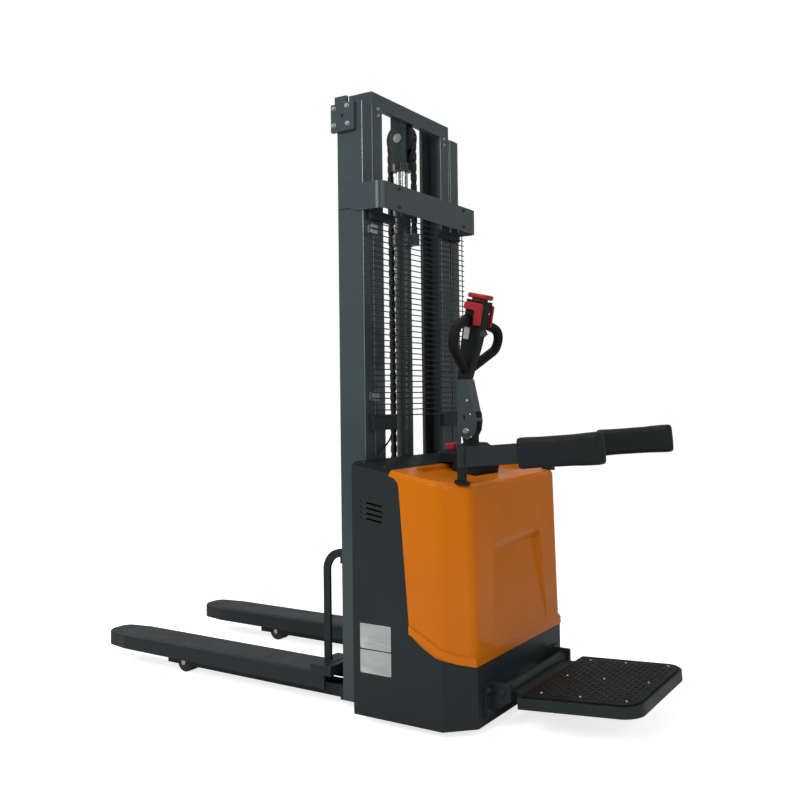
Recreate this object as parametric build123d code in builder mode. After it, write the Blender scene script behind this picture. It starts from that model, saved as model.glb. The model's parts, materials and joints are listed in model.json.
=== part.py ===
from build123d import *
import math
import os

os.makedirs("parts", exist_ok=True)

# Driving dimensions in millimetres. X runs to the truck's right, Y to the fork tips and Z up.
# A "reach" is a distance forward of the chassis rear face.

# Fits
running_fit = 0.05        # radial clearance of a shaft in its bore
slide_gap = 0.3           # clearance of a roller or pad beside its track
seam = 1.0                # open seam between cover panels

# Chassis
chassis_width = 800.0
chassis_length = 413.0
skirt_bottom = 23.0
skirt_top = 214.0
corner_cut = 81.0
frame_plate = 8.0
shelf_top = 300.0
shelf_inset = 70.0
shelf_rear = 40.0
deck_rear_z = 770.0
deck_slope = 9.8
deck_plate = 10.0

# Louvres in the side panels
louvre_count = 4
louvre_length = 86.0
louvre_height = 7.0
louvre_pitch = 17.0
louvre_step = 69.0
louvre_drop = 122.0

# Rear cover
cover_wall = 5.0
cover_setback = 145.0
cover_edge_step = 36.0
cover_foot_step = 71.0
cover_lip_depth = 20.0
cover_lean = 16.0
corner_round = 60.0
rim_round = 18.0
flare_front_z = 309.0
flare_reach = 45.0
flare_z = 228.0
lip_stand = 6.0
lip_band = 26.0
dish_depth = 15.0
dish_inset = 115.0
dish_rear = 72.0
recess_top = 580.0
recess_ledge = 32.0
recess_bottom = 250.0
recess_depth = 20.0
recess_half_top = 165.0
recess_half_bottom = 205.0

# Mast
mast_setback = 6.0
mast_depth = 103.0
mast_inset = 73.5
mast_foot = 30.0
outer_drop = 47.0
outer_flange = 59.5
outer_web = 10.0
outer_flange_plate = 14.0
inner_gap = 5.0
inner_width = 61.0
inner_web = 10.0
inner_flange_plate = 12.0
inner_step = 4.0
inner_foot = 60.0
inner_top = 2093.0
root_round = 6.0
base_plate = 12.0
base_height = 200.0
cylinder_shelf = 14.0
cylinder_shelf_half = 70.0

# Band round the operator's side of the outer mast
band_stand = 80.0
band_plate = 5.0
band_drop = 279.0
band_height = 91.0
band_round = 30.0
band_front = 98.0         # how far the band runs along the upright's side

# Guide blocks at the top of the outer mast
guide_plate = 13.5
guide_drop = 2.0
guide_height = 94.0
guide_length = 95.0
guide_overhang = 17.0
guide_tab = 24.0
guide_boss_d = 30.0

# Mesh guard
mesh_wire = 4.0
mesh_stand = 22.0
mesh_bottom = 986.0
mesh_pitch = 19.7
mesh_inset = 10.5
mesh_inner = 133.0
mesh_bracket_in = 160.0
mesh_bracket_out = 302.0
mesh_bracket_height = 52.0
cable_d = 6.0
cable_stand = 24.0

# Lift cylinder, yoke, sheave and chain
barrel_d = 60.0
barrel_drop = 358.0
gland_d = 72.0
barrel_foot_d = 66.0
gland_height = 30.0
rod_d = 42.0
yoke_drop = 218.0
rod_length = 1600.0
yoke_depth = 62.0
yoke_plate = 12.0
yoke_foot = 26.0
sheave_drop = 100.0
sheave_pitch_d = 100.0
sheave_flange_d = 114.0
sheave_flange = 3.5
sheave_pin_d = 30.0
pin_head_d = 34.0
pin_head = 4.0
chain_width = 22.0
chain_pitch = 19.05
chain_height = 18.0
chain_waist = 11.0
top_beam_height = 50.0
beam_plate = 10.0
bottom_beam_z = 66.0
bottom_beam_height = 60.0
anchor_drop = 493.0
anchor_height = 40.0
anchor_d = 76.0
anchor_half = 20.0

# Mast and carriage rollers
roller_width = 40.0
stub_d = 20.0
inner_roller_z = 110.0
carriage_roller_low = 180.0
carriage_roller_high = 450.0

# Carriage and forks
carriage_plate = 14.0
carriage_gap = 2.0
carriage_side_step = 23.0
carriage_side_foot = 110.0
heel_gap = 35.0
heel_plate = 29.0
heel_bottom = 108.0
heel_top = 141.0
upper_bar_gap = 10.0
upper_bar_plate = 25.0
upper_bar_over = 18.0
upper_bar_bottom = 480.0
upper_bar_top = 530.0
chain_lug_half = 20.0
chain_lug_reach = 20.0
chain_lug_top = 500.0
fork_length = 1129.0
fork_inset = 51.0
fork_width = 155.0
fork_top = 119.0
fork_skirt = 62.0
fork_top_plate = 12.0
fork_side_plate = 10.0
fork_heel = 58.0
fork_edge_round = 11.0
fork_nose = 130.0
fork_tip_width = 108.0
fork_tip_round = 48.0
hoop_bar = 28.0
hoop_thick = 10.0
hoop_step = 40.0
hoop_bend = 62.0
hoop_top = 513.0

# Straddle legs and load rollers
leg_width = 66.0
leg_bottom = 30.0
leg_top = 72.0
leg_wall = 6.0
leg_setback = 331.0
leg_foot_plate = 12.0
load_roller_d = 74.0
load_roller_step = 82.0
load_roller_side_gap = 1.0
load_axle_d = 20.0
roller_well = 100.0

# Drive unit, steering and castors
steer_setback = 98.0
drive_wheel_d = 230.0
drive_wheel_width = 75.0
drive_bore_d = 40.0
drive_well_d = 316.0
drive_neck_d = 100.0
gearbox_plate = 34.0
gearbox_gap = 4.0
gearbox_length = 170.0
gearbox_roof_gap = 8.0
motor_d = 130.0
motor_height = 180.0
column_d = 60.0
castor_inset = 110.0
castor_reach = 130.0
castor_wheel_d = 100.0
castor_wheel_width = 38.0
castor_trail = 38.0
castor_stem_d = 30.0
castor_axle_d = 12.0
castor_fork_plate = 6.0
castor_crown = 14.0
castor_gap = 1.0

# Tiller, measured on the truck's centre plane
pivot_step = 20.0
pivot_z = 928.0
pivot_pin_d = 16.0
cone_z = 872.0
cone_d = 128.0
cone_neck_d = 84.0
cone_height = 16.0
clevis_gap = 1.0
clevis_round = 26.0
arm_half = 23.0
arm_plate = 4.0
arm_round = 29.0
arm_front_step = 36.0
arm_top = 1108.0
arm_top_depth = 43.0
arm_low_z = 966.0
arm_low_step = 39.0
head_step = 17.0
head_lean = 13.0
head_length = 280.0
head_sink = 6.0
head_low_half = 24.0
head_low_thick = 42.0
head_mid_s = 120.0
head_mid_thick = 68.0
head_high_half = 33.0
head_high_thick = 76.0
head_round = 10.0
loop_d = 34.0
loop_half = 162.0
loop_sweep = 16.0
loop_foot = 32.0
loop_wide_low = 118.0
loop_wide_high = 182.0
loop_shoulder = 216.0
loop_forward = 22.0
loop_bend = 42.0
cap_half = 36.0
cap_height = 17.0
cap_thick = 80.0
cap_round = 7.0
cap_gap = 6.0
cap_travel = 5.0
stem_half = 22.0
stem_thick = 40.0
stem_depth = 12.0
throttle_s = 246.0
throttle_out = 8.0
throttle_shaft_d = 12.0
throttle_gap = 3.0
throttle_width = 13.0
lobe_out = 33.0
lobe_low = 244.0
lobe_height = 26.0
tongue_in = 14.0
tongue_out = 40.0
tongue_height = 50.0
paddle_round = 8.0
rocker_d = 24.0
rocker_length = 36.0
rocker_s = 170.0
rocker_sink = 4.0
rocker_rib = 4.0

# Console and emergency stop
console_half = 72.0
console_rear_step = 74.0
console_front_step = 116.0
console_top = 858.0
console_foot = 60.0
stop_step = 82.0
stop_x = -24.0
stop_d = 38.0
stop_stem_d = 22.0
stop_travel = 6.0
stop_height = 22.0

# Guard arms
post_inset = 72.0
post_reach = 42.0
post_d = 20.0
post_top = 893.0
post_base_d = 50.0
post_base_plate = 8.0
sleeve_wall = 5.0
sleeve_bottom = 829.0
arm_bar = 6.0
arm_bar_height = 62.0
arm_bar_z = 860.0
arm_rise = 4.7
arm_bar_length = 440.0
pad_start = 193.0
pad_length = 272.0
pad_height = 100.0
pad_thick = 50.0
pad_round = 20.0
pad_slot_gap = 0.3

# Platform
hinge_reach = -43.0
hinge_z = 122.0
hinge_pin_d = 20.0
hinge_tube_d = 40.0
ear_x = 230.0
ear_plate = 12.0
ear_bottom = 45.0
ear_top = 150.0
ear_rear = -72.0
ear_round = 24.0
ear_base_half = 36.0
ear_base_plate = 8.0
platform_tilt = 4.0
platform_near = 60.0
platform_far = 435.0
platform_half_front = 262.0
platform_half_rear = 246.0
platform_round = 62.0
platform_depth = 40.0
platform_neck_half = 205.0
pan_wall = 4.0
mat_thick = 6.0
mat_inset = 9.0

# Internal units
battery_gap = 20.0
battery_motor_gap = 9.0
battery_height = 230.0
pump_motor_d = 110.0
pump_motor_height = 190.0
tank_length = 150.0
tank_height = 120.0
controller_length = 170.0
controller_height = 60.0
controller_fins = 6

# Places that follow from the sizes above
half_width = chassis_width / 2
shelf_half = half_width - shelf_inset
battery_half = shelf_half - battery_gap
dish_half = half_width - dish_inset
castor_x = half_width - castor_inset
post_x = half_width - post_inset
cover_front = chassis_length - cover_setback
cover_edge = cover_front - cover_edge_step
cover_edge_foot = cover_front - cover_foot_step
louvre_reach = cover_front + louvre_step
steer_reach = cover_front - steer_setback
mast_rear = chassis_length - mast_setback
mast_front = mast_rear + mast_depth
mast_half = half_width - mast_inset
outer_top = inner_top - outer_drop
band_reach = mast_rear - band_stand
band_top = outer_top - band_drop
band_bottom = band_top - band_height
guide_top = outer_top - guide_drop
guide_bottom = guide_top - guide_height
guide_front = mast_front + guide_overhang
guide_rear = guide_front - guide_length
mesh_reach = mast_rear - mesh_stand
mesh_half = mast_half - mesh_inset
mesh_rows = int((band_bottom - mesh_bottom) / mesh_pitch) + 1
cable_reach = mast_rear - cable_stand
barrel_top = inner_top - barrel_drop
yoke_bottom = inner_top - yoke_drop
sheave_z = inner_top - sheave_drop
anchor_z = inner_top - anchor_drop
carriage_side_rear = mast_rear + carriage_side_step
heel_rear = mast_front + heel_gap
heel_front = heel_rear + heel_plate
upper_bar_rear = mast_front + upper_bar_gap
chain_lug_rear = upper_bar_rear - chain_lug_reach
fork_outer = half_width - fork_inset
fork_inner = fork_outer - fork_width
fork_mid = (fork_outer + fork_inner) / 2
fork_tip = heel_front + fork_length
hoop_x = fork_mid
hoop_reach = heel_front + hoop_step
upper_bar_half = hoop_x + upper_bar_over
leg_x = fork_mid
leg_front = fork_tip - leg_setback
load_roller_reach = leg_front - load_roller_step
pivot_reach = steer_reach + pivot_step
arm_front_reach = pivot_reach + arm_front_step
arm_low_reach = pivot_reach - arm_low_step
head_reach = pivot_reach + head_step
console_rear = steer_reach - console_rear_step
console_front = steer_reach + console_front_step
stop_reach = steer_reach + stop_step
tilt = math.radians(platform_tilt)
platform_rear = hinge_reach - platform_far * math.cos(tilt) - platform_depth * math.sin(tilt)
chassis_rear_y = -(fork_tip + platform_rear) / 2
inner_x = mast_half - outer_flange - inner_gap
inner_tip = inner_x - inner_width
slope_rise = math.tan(math.radians(deck_slope))


def at(reach):
    """Y of a point at this reach from the chassis rear face."""
    return chassis_rear_y + reach


def deck_z(reach):
    """Height of the sloped top of the chassis at this reach."""
    return deck_rear_z + reach * slope_rise


def keep(builder, name):
    """Labels a finished piece and writes it."""
    builder.part.label = name
    export_step(builder.part, f"parts/{name}.step")


def block(x, y, z, mode=Mode.ADD):
    """Box between low and high corners, given as pairs."""
    with Locations(((x[0] + x[1]) / 2, (y[0] + y[1]) / 2, (z[0] + z[1]) / 2)):
        Box(x[1] - x[0], y[1] - y[0], z[1] - z[0], mode=mode)


def rod_x(diameter, x, y, z, mode=Mode.ADD):
    """Round bar along X between the pair x."""
    with Locations(Location(((x[0] + x[1]) / 2, y, z), (0, 90, 0))):
        Cylinder(diameter / 2, x[1] - x[0], mode=mode)


def rod_z(diameter, x, y, z, mode=Mode.ADD):
    """Upright round bar between the pair z."""
    with Locations((x, y, (z[0] + z[1]) / 2)):
        Cylinder(diameter / 2, z[1] - z[0], mode=mode)


def chassis_plan(inset, front, mode=Mode.ADD):
    """Plan of the chassis with its cut rear corners, moved in by inset."""
    cut = corner_cut - inset * (2 - math.sqrt(2))
    x = half_width - inset
    rear = at(inset)
    with BuildLine() as outline:
        Polyline(
            (-x, at(front)),
            (-x, rear + cut),
            (-x + cut, rear),
            (x - cut, rear),
            (x, rear + cut),
            (x, at(front)),
            close=True,
        )
    make_face(outline.edges(), mode=mode)


def cover_zone(gap):
    """Side view of all that lies above and behind the cover's front and lower edges."""
    high = deck_z(chassis_length) + cover_lip_depth
    front = at(cover_front + gap)
    under_lip = deck_z(cover_front) - cover_lip_depth - gap
    edge = at(cover_edge + gap)
    bend = cover_front - cover_edge
    behind = at(-corner_cut)
    with BuildLine() as outline:
        Polyline((behind, skirt_top), (behind, high), (front, high), (front, under_lip))
        RadiusArc((front, under_lip), (edge, under_lip - bend), -bend)
        Line((edge, under_lip - bend), (at(cover_edge_foot + gap), flare_front_z - gap))
        ThreePointArc(
            (at(cover_edge_foot + gap), flare_front_z - gap),
            (at((cover_edge_foot + flare_reach) / 2 + gap), flare_z + (flare_front_z - flare_z) * 0.34 - gap),
            (at(flare_reach + gap), flare_z - gap),
        )
        Polyline((at(flare_reach + gap), flare_z - gap), (at(gap), skirt_top), (behind, skirt_top))
    make_face(outline.edges())


# Chassis frame: skirt, side panels, lower shelf and the raised battery shelf
louvre_top = deck_z(cover_front + louvre_step) - louvre_drop
louvre_places = [(at(louvre_reach), louvre_top - louvre_pitch * i) for i in range(louvre_count)]
with BuildPart() as chassis_frame:
    with BuildSketch(Plane.XY.offset(skirt_bottom)):
        chassis_plan(0, chassis_length)
        chassis_plan(frame_plate, chassis_length, Mode.SUBTRACT)
    extrude(amount=deck_z(chassis_length) - skirt_bottom)
    with BuildSketch(Plane.YZ):
        with BuildLine():
            Polyline(
                (at(0), deck_z(0) - deck_plate),
                (at(chassis_length), deck_z(chassis_length) - deck_plate),
                (at(chassis_length), deck_z(chassis_length)),
                (at(0), deck_z(chassis_length)),
                close=True,
            )
        make_face()
    extrude(amount=half_width, both=True, mode=Mode.SUBTRACT)
    with BuildSketch(Plane.YZ):
        cover_zone(seam)
    extrude(amount=half_width, both=True, mode=Mode.SUBTRACT)
    with BuildSketch(Plane.YZ):
        with Locations(*louvre_places):
            SlotOverall(louvre_length, louvre_height, rotation=deck_slope)
    extrude(amount=half_width, both=True, mode=Mode.SUBTRACT)
    with BuildSketch(Plane.XY.offset(skirt_top - seam - frame_plate)):
        chassis_plan(frame_plate, mast_rear - base_plate)
        with Locations((0, at(steer_reach))):
            Circle(drive_well_d / 2, mode=Mode.SUBTRACT)
        with Locations((-castor_x, at(castor_reach)), (castor_x, at(castor_reach))):
            Circle(castor_stem_d / 2 + running_fit, mode=Mode.SUBTRACT)
    extrude(amount=frame_plate)
    for sign in (-1, 1):
        wall = sorted((sign * shelf_half, sign * (shelf_half - frame_plate)))
        block(
            wall, (at(castor_reach + castor_stem_d), at(mast_rear - base_plate)), (skirt_top - seam, shelf_top)
        )
    with BuildSketch(Plane.XY.offset(shelf_top - frame_plate)):
        with BuildLine():
            Polyline(
                (-shelf_half, at(shelf_rear)),
                (shelf_half, at(shelf_rear)),
                (shelf_half, at(mast_rear - base_plate)),
                (-shelf_half, at(mast_rear - base_plate)),
                close=True,
            )
        make_face()
        with Locations((0, at(steer_reach))):
            Circle(drive_neck_d / 2 + running_fit, mode=Mode.SUBTRACT)
    extrude(amount=frame_plate)
keep(chassis_frame, "chassis_frame")


def cover_block(inset, top_inset):
    """Solid outline of the rear cover, moved in by inset on the sides and top_inset on top."""
    bottom = skirt_top - seam
    with BuildPart() as outline:
        with BuildSketch(Plane.YZ):
            with BuildLine():
                Polyline(
                    (at(inset), bottom),
                    (at(cover_front), bottom),
                    (at(cover_front), deck_z(cover_front) - top_inset),
                    (at(inset + cover_lean), deck_z(inset + cover_lean) - top_inset),
                    close=True,
                )
            make_face()
        extrude(amount=half_width - inset, both=True)
        rear_corners = outline.edges().filter_by(
            lambda e: e.center().Y < at(cover_lean + inset)
            and abs(e.center().X) > half_width - inset - seam
        )
        chamfer(rear_corners, corner_cut - inset * (2 - math.sqrt(2)))
        bends = outline.edges().filter_by(
            lambda e: e.center().Y < at(corner_cut + cover_lean + inset)
            and e.length > (recess_top - recess_bottom)
            and abs(e.center().X) > half_width - corner_cut - inset - seam
            and abs(e.tangent_at(0.5).Z) > 0.9
        )
        fillet(bends, corner_round)
        rim = (
            outline.faces().sort_by(Axis.Z)[-1].edges()
            .filter_by(lambda e: e.center().Y < at(cover_front) - seam)
        )
        fillet(rim, rim_round)
    return outline.part


def recess_wedge(extra):
    """Wedge that sinks the rear panel, deepest under its upper ledge, grown by extra."""
    height = deck_rear_z - skirt_top

    def floor_y(z, depth):
        return at(cover_lean * (z - skirt_top) / height + depth + extra)

    stations = (
        (recess_bottom - extra, recess_half_bottom + extra, 0.0),
        (recess_top - recess_ledge, recess_half_top + extra, recess_depth),
        (recess_top + extra, recess_half_top + extra, 0.0),
    )
    with BuildPart() as wedge:
        for lower, upper in zip(stations, stations[1:]):
            for z, half, depth in (lower, upper):
                with BuildSketch(Plane.XY.offset(z)):
                    with BuildLine():
                        Polyline(
                            (-half - corner_round, at(-corner_round)),
                            (half + corner_round, at(-corner_round)),
                            (half, floor_y(z, depth)),
                            (-half, floor_y(z, depth)),
                            close=True,
                        )
                    make_face()
            loft()
    return wedge.part


# Rear cover: moulded shell with a dished top, a recessed rear panel and a proud lower lip
cover_outer = cover_block(0, 0)
cover_inner = cover_block(cover_wall, cover_wall + dish_depth)
cover_lip = cover_block(-lip_stand, 0)
deck_plane = Plane(
    origin=(0, at(0), deck_rear_z),
    x_dir=(1, 0, 0),
    z_dir=(0, -math.sin(math.radians(deck_slope)), math.cos(math.radians(deck_slope))),
)
slope_cos = math.cos(math.radians(deck_slope))
with BuildPart() as lip_part:
    add(cover_lip)
    with BuildSketch(Plane.YZ):
        with BuildLine():
            Polyline(
                (at(0), skirt_top),
                (at(flare_reach), flare_z),
                (at(cover_edge_foot), flare_front_z),
                (at(cover_edge_foot), flare_front_z + lip_band),
                (at(flare_reach), flare_z + lip_band),
                (at(0), skirt_top + lip_band),
                close=True,
            )
        make_face()
    extrude(amount=half_width + lip_stand, both=True, mode=Mode.INTERSECT)
with BuildPart() as rear_cover:
    add(cover_outer)
    add(lip_part.part)
    add(cover_inner, mode=Mode.SUBTRACT)
    add(recess_wedge(cover_wall).intersect(cover_outer))
    add(recess_wedge(0), mode=Mode.SUBTRACT)
    with BuildSketch(Plane.YZ):
        cover_zone(0)
    extrude(amount=half_width + lip_stand, both=True, mode=Mode.INTERSECT)
    with BuildSketch(deck_plane):
        with Locations((0, (dish_rear + cover_front) / 2 / slope_cos)):
            RectangleRounded(
                2 * dish_half, (cover_front - dish_rear) / slope_cos - 2 * rim_round, corner_round / 2
            )
    extrude(amount=-dish_depth, taper=20, mode=Mode.SUBTRACT)
    rod_z(
        column_d * 1.5, 0, at(steer_reach), (deck_rear_z - 2 * dish_depth, deck_z(cover_front)), Mode.SUBTRACT
    )
keep(rear_cover, "rear_cover")

# Top deck: dark sloped plate between the cover and the mast
with BuildPart() as top_deck:
    with BuildSketch(Plane.YZ):
        with BuildLine():
            Polyline(
                (at(cover_front + seam), deck_z(cover_front + seam)),
                (at(mast_rear - seam), deck_z(mast_rear - seam)),
                (at(mast_rear - seam), deck_z(mast_rear - seam) - deck_plate),
                (at(cover_front + seam), deck_z(cover_front + seam) - deck_plate),
                close=True,
            )
        make_face()
    extrude(amount=half_width, both=True)
    cable_hole = (deck_rear_z, deck_z(mast_rear))
    rod_z(cable_d + 2 * running_fit, -mesh_bracket_out, at(cable_reach), cable_hole, Mode.SUBTRACT)
keep(top_deck, "top_deck")

# Battery, hydraulic unit and controller on the raised shelf
battery_front = mast_rear - base_plate - seam
battery_depth = battery_front - steer_reach - motor_d / 2 - battery_motor_gap
with BuildPart() as battery_pack:
    block(
        (-battery_half, battery_half),
        (at(battery_front - battery_depth), at(battery_front)),
        (shelf_top, shelf_top + battery_height),
    )
    fillet(battery_pack.edges().filter_by(Axis.Z), cover_wall)
    lid = shelf_top + battery_height
    for x in (-battery_half / 2, battery_half / 2):
        for reach in (battery_front - battery_depth * 0.25, battery_front - battery_depth * 0.75):
            rod_z(castor_stem_d, x, at(reach), (lid, lid + frame_plate))
keep(battery_pack, "battery_pack")

pump_x = -(shelf_half + drive_neck_d) / 2 - frame_plate
pump_y = at(shelf_rear + pump_motor_d)
with BuildPart() as hydraulic_unit:
    block(
        (pump_x - tank_length / 2, pump_x + tank_length / 2),
        (pump_y - pump_motor_d / 2, pump_y + pump_motor_d / 2),
        (shelf_top, shelf_top + tank_height),
    )
    fillet(hydraulic_unit.edges().filter_by(Axis.Z), cover_wall)
    rod_z(
        pump_motor_d, pump_x, pump_y, (shelf_top + tank_height, shelf_top + tank_height + pump_motor_height)
    )
keep(hydraulic_unit, "hydraulic_unit")

fin_step = controller_length / controller_fins
with BuildPart() as motor_controller:
    x = -pump_x
    block(
        (x - controller_length / 2, x + controller_length / 2),
        (pump_y - pump_motor_d / 2, pump_y + pump_motor_d / 2),
        (shelf_top, shelf_top + controller_height),
    )
    for i in range(controller_fins):
        left = x - controller_length / 2 + i * fin_step
        block(
            (left, left + fin_step / 2),
            (pump_y - pump_motor_d / 2, pump_y + pump_motor_d / 2),
            (shelf_top + controller_height, shelf_top + controller_height * 1.5),
        )
keep(motor_controller, "motor_controller")

# Outer mast uprights: channels open to the middle
mast_mid = mast_rear + mast_depth / 2
guide_mid_z = (guide_bottom + guide_top) / 2
with BuildPart() as outer_mast_left:
    with BuildSketch(Plane.XY.offset(mast_foot)):
        with Locations((-mast_half + outer_flange / 2, at(mast_mid))):
            Rectangle(outer_flange, mast_depth)
        with Locations((-mast_half + (outer_flange + outer_web) / 2, at(mast_mid))):
            Rectangle(outer_flange - outer_web, mast_depth - 2 * outer_flange_plate, mode=Mode.SUBTRACT)
    extrude(amount=outer_top - mast_foot)
    roots = outer_mast_left.edges().filter_by(Axis.Z).filter_by(
        lambda e: abs(e.center().X + mast_half - outer_web) < seam
    )
    fillet(roots, root_round)
    rod_x(guide_boss_d, (-mast_half, -mast_half + outer_web), at(mast_mid), guide_mid_z, Mode.SUBTRACT)
keep(outer_mast_left, "outer_mast_left")

with BuildPart() as outer_mast_right:
    add(mirror(outer_mast_left.part, about=Plane.YZ))
keep(outer_mast_right, "outer_mast_right")

# Mast base: plate behind the uprights with the shelf that carries the lift cylinder
with BuildPart() as mast_base:
    block(
        (-half_width + frame_plate, half_width - frame_plate),
        (at(mast_rear - base_plate), at(mast_rear)),
        (mast_foot, mast_foot + base_height),
    )
    block(
        (-cylinder_shelf_half, cylinder_shelf_half),
        (at(mast_rear), at(mast_mid + gland_d / 2)),
        (mast_foot, mast_foot + cylinder_shelf),
    )
keep(mast_base, "mast_base")

# Band: bent plate round the operator's side of the uprights
with BuildPart() as mast_band:
    with BuildSketch(Plane.XY.offset(band_bottom)):
        outside = mast_half + band_plate
        band_end = at(mast_rear + band_front)
        band_back = at(band_reach)
        with BuildLine():
            outer_line = FilletPolyline(
                (-outside, band_end),
                (-outside, band_back),
                (outside, band_back),
                (outside, band_end),
                radius=band_round,
            )
            inner_line = FilletPolyline(
                (-mast_half, band_end),
                (-mast_half, band_back + band_plate),
                (mast_half, band_back + band_plate),
                (mast_half, band_end),
                radius=band_round - band_plate,
            )
            Line(outer_line @ 0, inner_line @ 0)
            Line(outer_line @ 1, inner_line @ 1)
        make_face()
    extrude(amount=band_top - band_bottom)
    with BuildSketch(Plane.YZ):
        with BuildLine():
            notch_rear = mast_rear + band_front * 0.25
            Polyline(
                (at(notch_rear), band_bottom),
                (at(notch_rear + guide_boss_d), band_bottom + band_round * 0.4),
                (at(mast_rear + band_front), band_bottom + band_round * 0.4),
                (at(mast_rear + band_front), band_bottom),
                close=True,
            )
        make_face()
    extrude(amount=mast_half + band_plate, both=True, mode=Mode.SUBTRACT)
keep(mast_band, "mast_band")

# Guide blocks: bolted plate outside the web, boss through it, wear pad inside
pad_inner = inner_x + slide_gap
with BuildPart() as mast_guide_blocks:
    for sign in (-1, 1):
        with BuildSketch(Plane.YZ.offset(sign * mast_half)):
            with BuildLine():
                Polyline(
                    (at(guide_rear), guide_bottom),
                    (at(guide_front), guide_bottom),
                    (at(guide_front), guide_top),
                    (at(mast_front), guide_top),
                    (at(mast_front), guide_top + guide_tab),
                    (at(mast_front - 2 * guide_tab), guide_top + guide_tab),
                    (at(mast_front - 2 * guide_tab), guide_top),
                    (at(guide_rear), guide_top),
                    close=True,
                )
            make_face()
        extrude(amount=sign * guide_plate)
        rod_x(
            guide_boss_d,
            sorted((sign * mast_half, sign * (mast_half - outer_web))),
            at(mast_mid),
            guide_mid_z,
        )
        block(
            sorted((sign * pad_inner, sign * (mast_half - outer_web))),
            (
                at(mast_rear + outer_flange_plate + root_round),
                at(mast_front - outer_flange_plate - root_round),
            ),
            (guide_bottom, guide_top),
        )
keep(mast_guide_blocks, "mast_guide_blocks")

# Mesh guard: flat wire net hung behind the uprights
mesh_low = at(mesh_reach - mesh_wire / 2)
mesh_height = mesh_pitch * (mesh_rows - 1)
mesh_uprights = (-mesh_half, -mesh_inner, mesh_inner, mesh_half)
upright_gaps = list(zip(mesh_uprights, mesh_uprights[1:]))
with BuildPart() as mesh_guard:
    with BuildSketch(Plane.XZ.offset(-mesh_low)):
        with Locations((0, mesh_bottom + mesh_height / 2)):
            Rectangle(2 * mesh_half + mesh_wire, mesh_height + mesh_wire)
        row_heights = [mesh_bottom + mesh_pitch * (i + 0.5) for i in range(mesh_rows - 1)]
        for left, right in upright_gaps:
            with Locations(*[((left + right) / 2, z) for z in row_heights]):
                Rectangle(right - left - mesh_wire, mesh_pitch - mesh_wire, mode=Mode.SUBTRACT)
    extrude(amount=-mesh_wire)
keep(mesh_guard, "mesh_guard")

# Brackets that hold the mesh off the uprights
with BuildPart() as mesh_brackets:
    for sign in (-1, 1):
        span = sorted((sign * mesh_bracket_in, sign * mesh_bracket_out))
        top = mesh_bottom + mesh_wire
        for low in (top - mesh_bracket_height, band_bottom - seam - mesh_bracket_height / 2):
            high = min(low + mesh_bracket_height, band_bottom - seam)
            block(span, (at(mesh_reach + mesh_wire / 2), at(mast_rear)), (low, high))
            block(
                (span[0] + mesh_wire, span[1] - mesh_wire),
                (at(mesh_reach + mesh_wire * 1.5), at(mast_rear)),
                (low + mesh_wire, high - mesh_wire),
                Mode.SUBTRACT,
            )
keep(mesh_brackets, "mesh_brackets")

# Lift cylinder barrel with its gland and the welded collar that anchors the rear chain run
barrel_foot = mast_foot + cylinder_shelf
chain_front_y = at(mast_mid + sheave_pitch_d / 2)
chain_rear_y = at(mast_mid - sheave_pitch_d / 2)
anchor_top = anchor_z + anchor_height
with BuildPart() as cylinder_barrel:
    rod_z(barrel_d, 0, at(mast_mid), (barrel_foot, barrel_top))
    rod_z(barrel_foot_d, 0, at(mast_mid), (barrel_foot, barrel_foot + gland_height))
    rod_z(gland_d, 0, at(mast_mid), (barrel_top - gland_height, barrel_top))
    rod_z(anchor_d, 0, at(mast_mid), (anchor_z, anchor_top))
    block(
        (-anchor_half, anchor_half), (chain_rear_y - chain_height / 2, at(mast_mid)), (anchor_z, anchor_top)
    )
    rod_z(rod_d + 2 * running_fit, 0, at(mast_mid), (barrel_foot + gland_height, barrel_top), Mode.SUBTRACT)
keep(cylinder_barrel, "cylinder_barrel")

# Piston rod
with BuildPart() as piston_rod:
    rod_z(rod_d, 0, at(mast_mid), (yoke_bottom - rod_length, yoke_bottom))
keep(piston_rod, "piston_rod")

# Yoke on the rod, reaching up to the inner mast's top beam
sheave_width = chain_width + 2 * sheave_flange + 2 * slide_gap
yoke_in = sheave_width / 2 + slide_gap
yoke_out = yoke_in + yoke_plate
beam_under = inner_top - beam_plate
with BuildPart() as chain_yoke:
    for sign in (-1, 1):
        with BuildSketch(Plane.YZ.offset(sign * yoke_in)):
            with Locations((at(mast_mid), (yoke_bottom + beam_under) / 2)):
                Rectangle(yoke_depth, beam_under - yoke_bottom)
            with Locations((at(mast_mid), sheave_z)):
                Circle(sheave_pin_d / 2, mode=Mode.SUBTRACT)
        extrude(amount=sign * yoke_plate)
    rod_z(gland_d, 0, at(mast_mid), (yoke_bottom, yoke_bottom + yoke_foot))
    block(
        (-yoke_out, yoke_out),
        (at(mast_mid - yoke_depth / 2), at(mast_mid + yoke_depth / 2)),
        (yoke_bottom + yoke_foot / 2, yoke_bottom + yoke_foot),
    )
keep(chain_yoke, "chain_yoke")

with BuildPart() as sheave_pin:
    rod_x(sheave_pin_d, (-yoke_out, yoke_out), at(mast_mid), sheave_z)
    rod_x(pin_head_d, (-yoke_out - pin_head, -yoke_out), at(mast_mid), sheave_z)
    rod_x(pin_head_d, (yoke_out, yoke_out + pin_head), at(mast_mid), sheave_z)
keep(sheave_pin, "sheave_pin")

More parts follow.
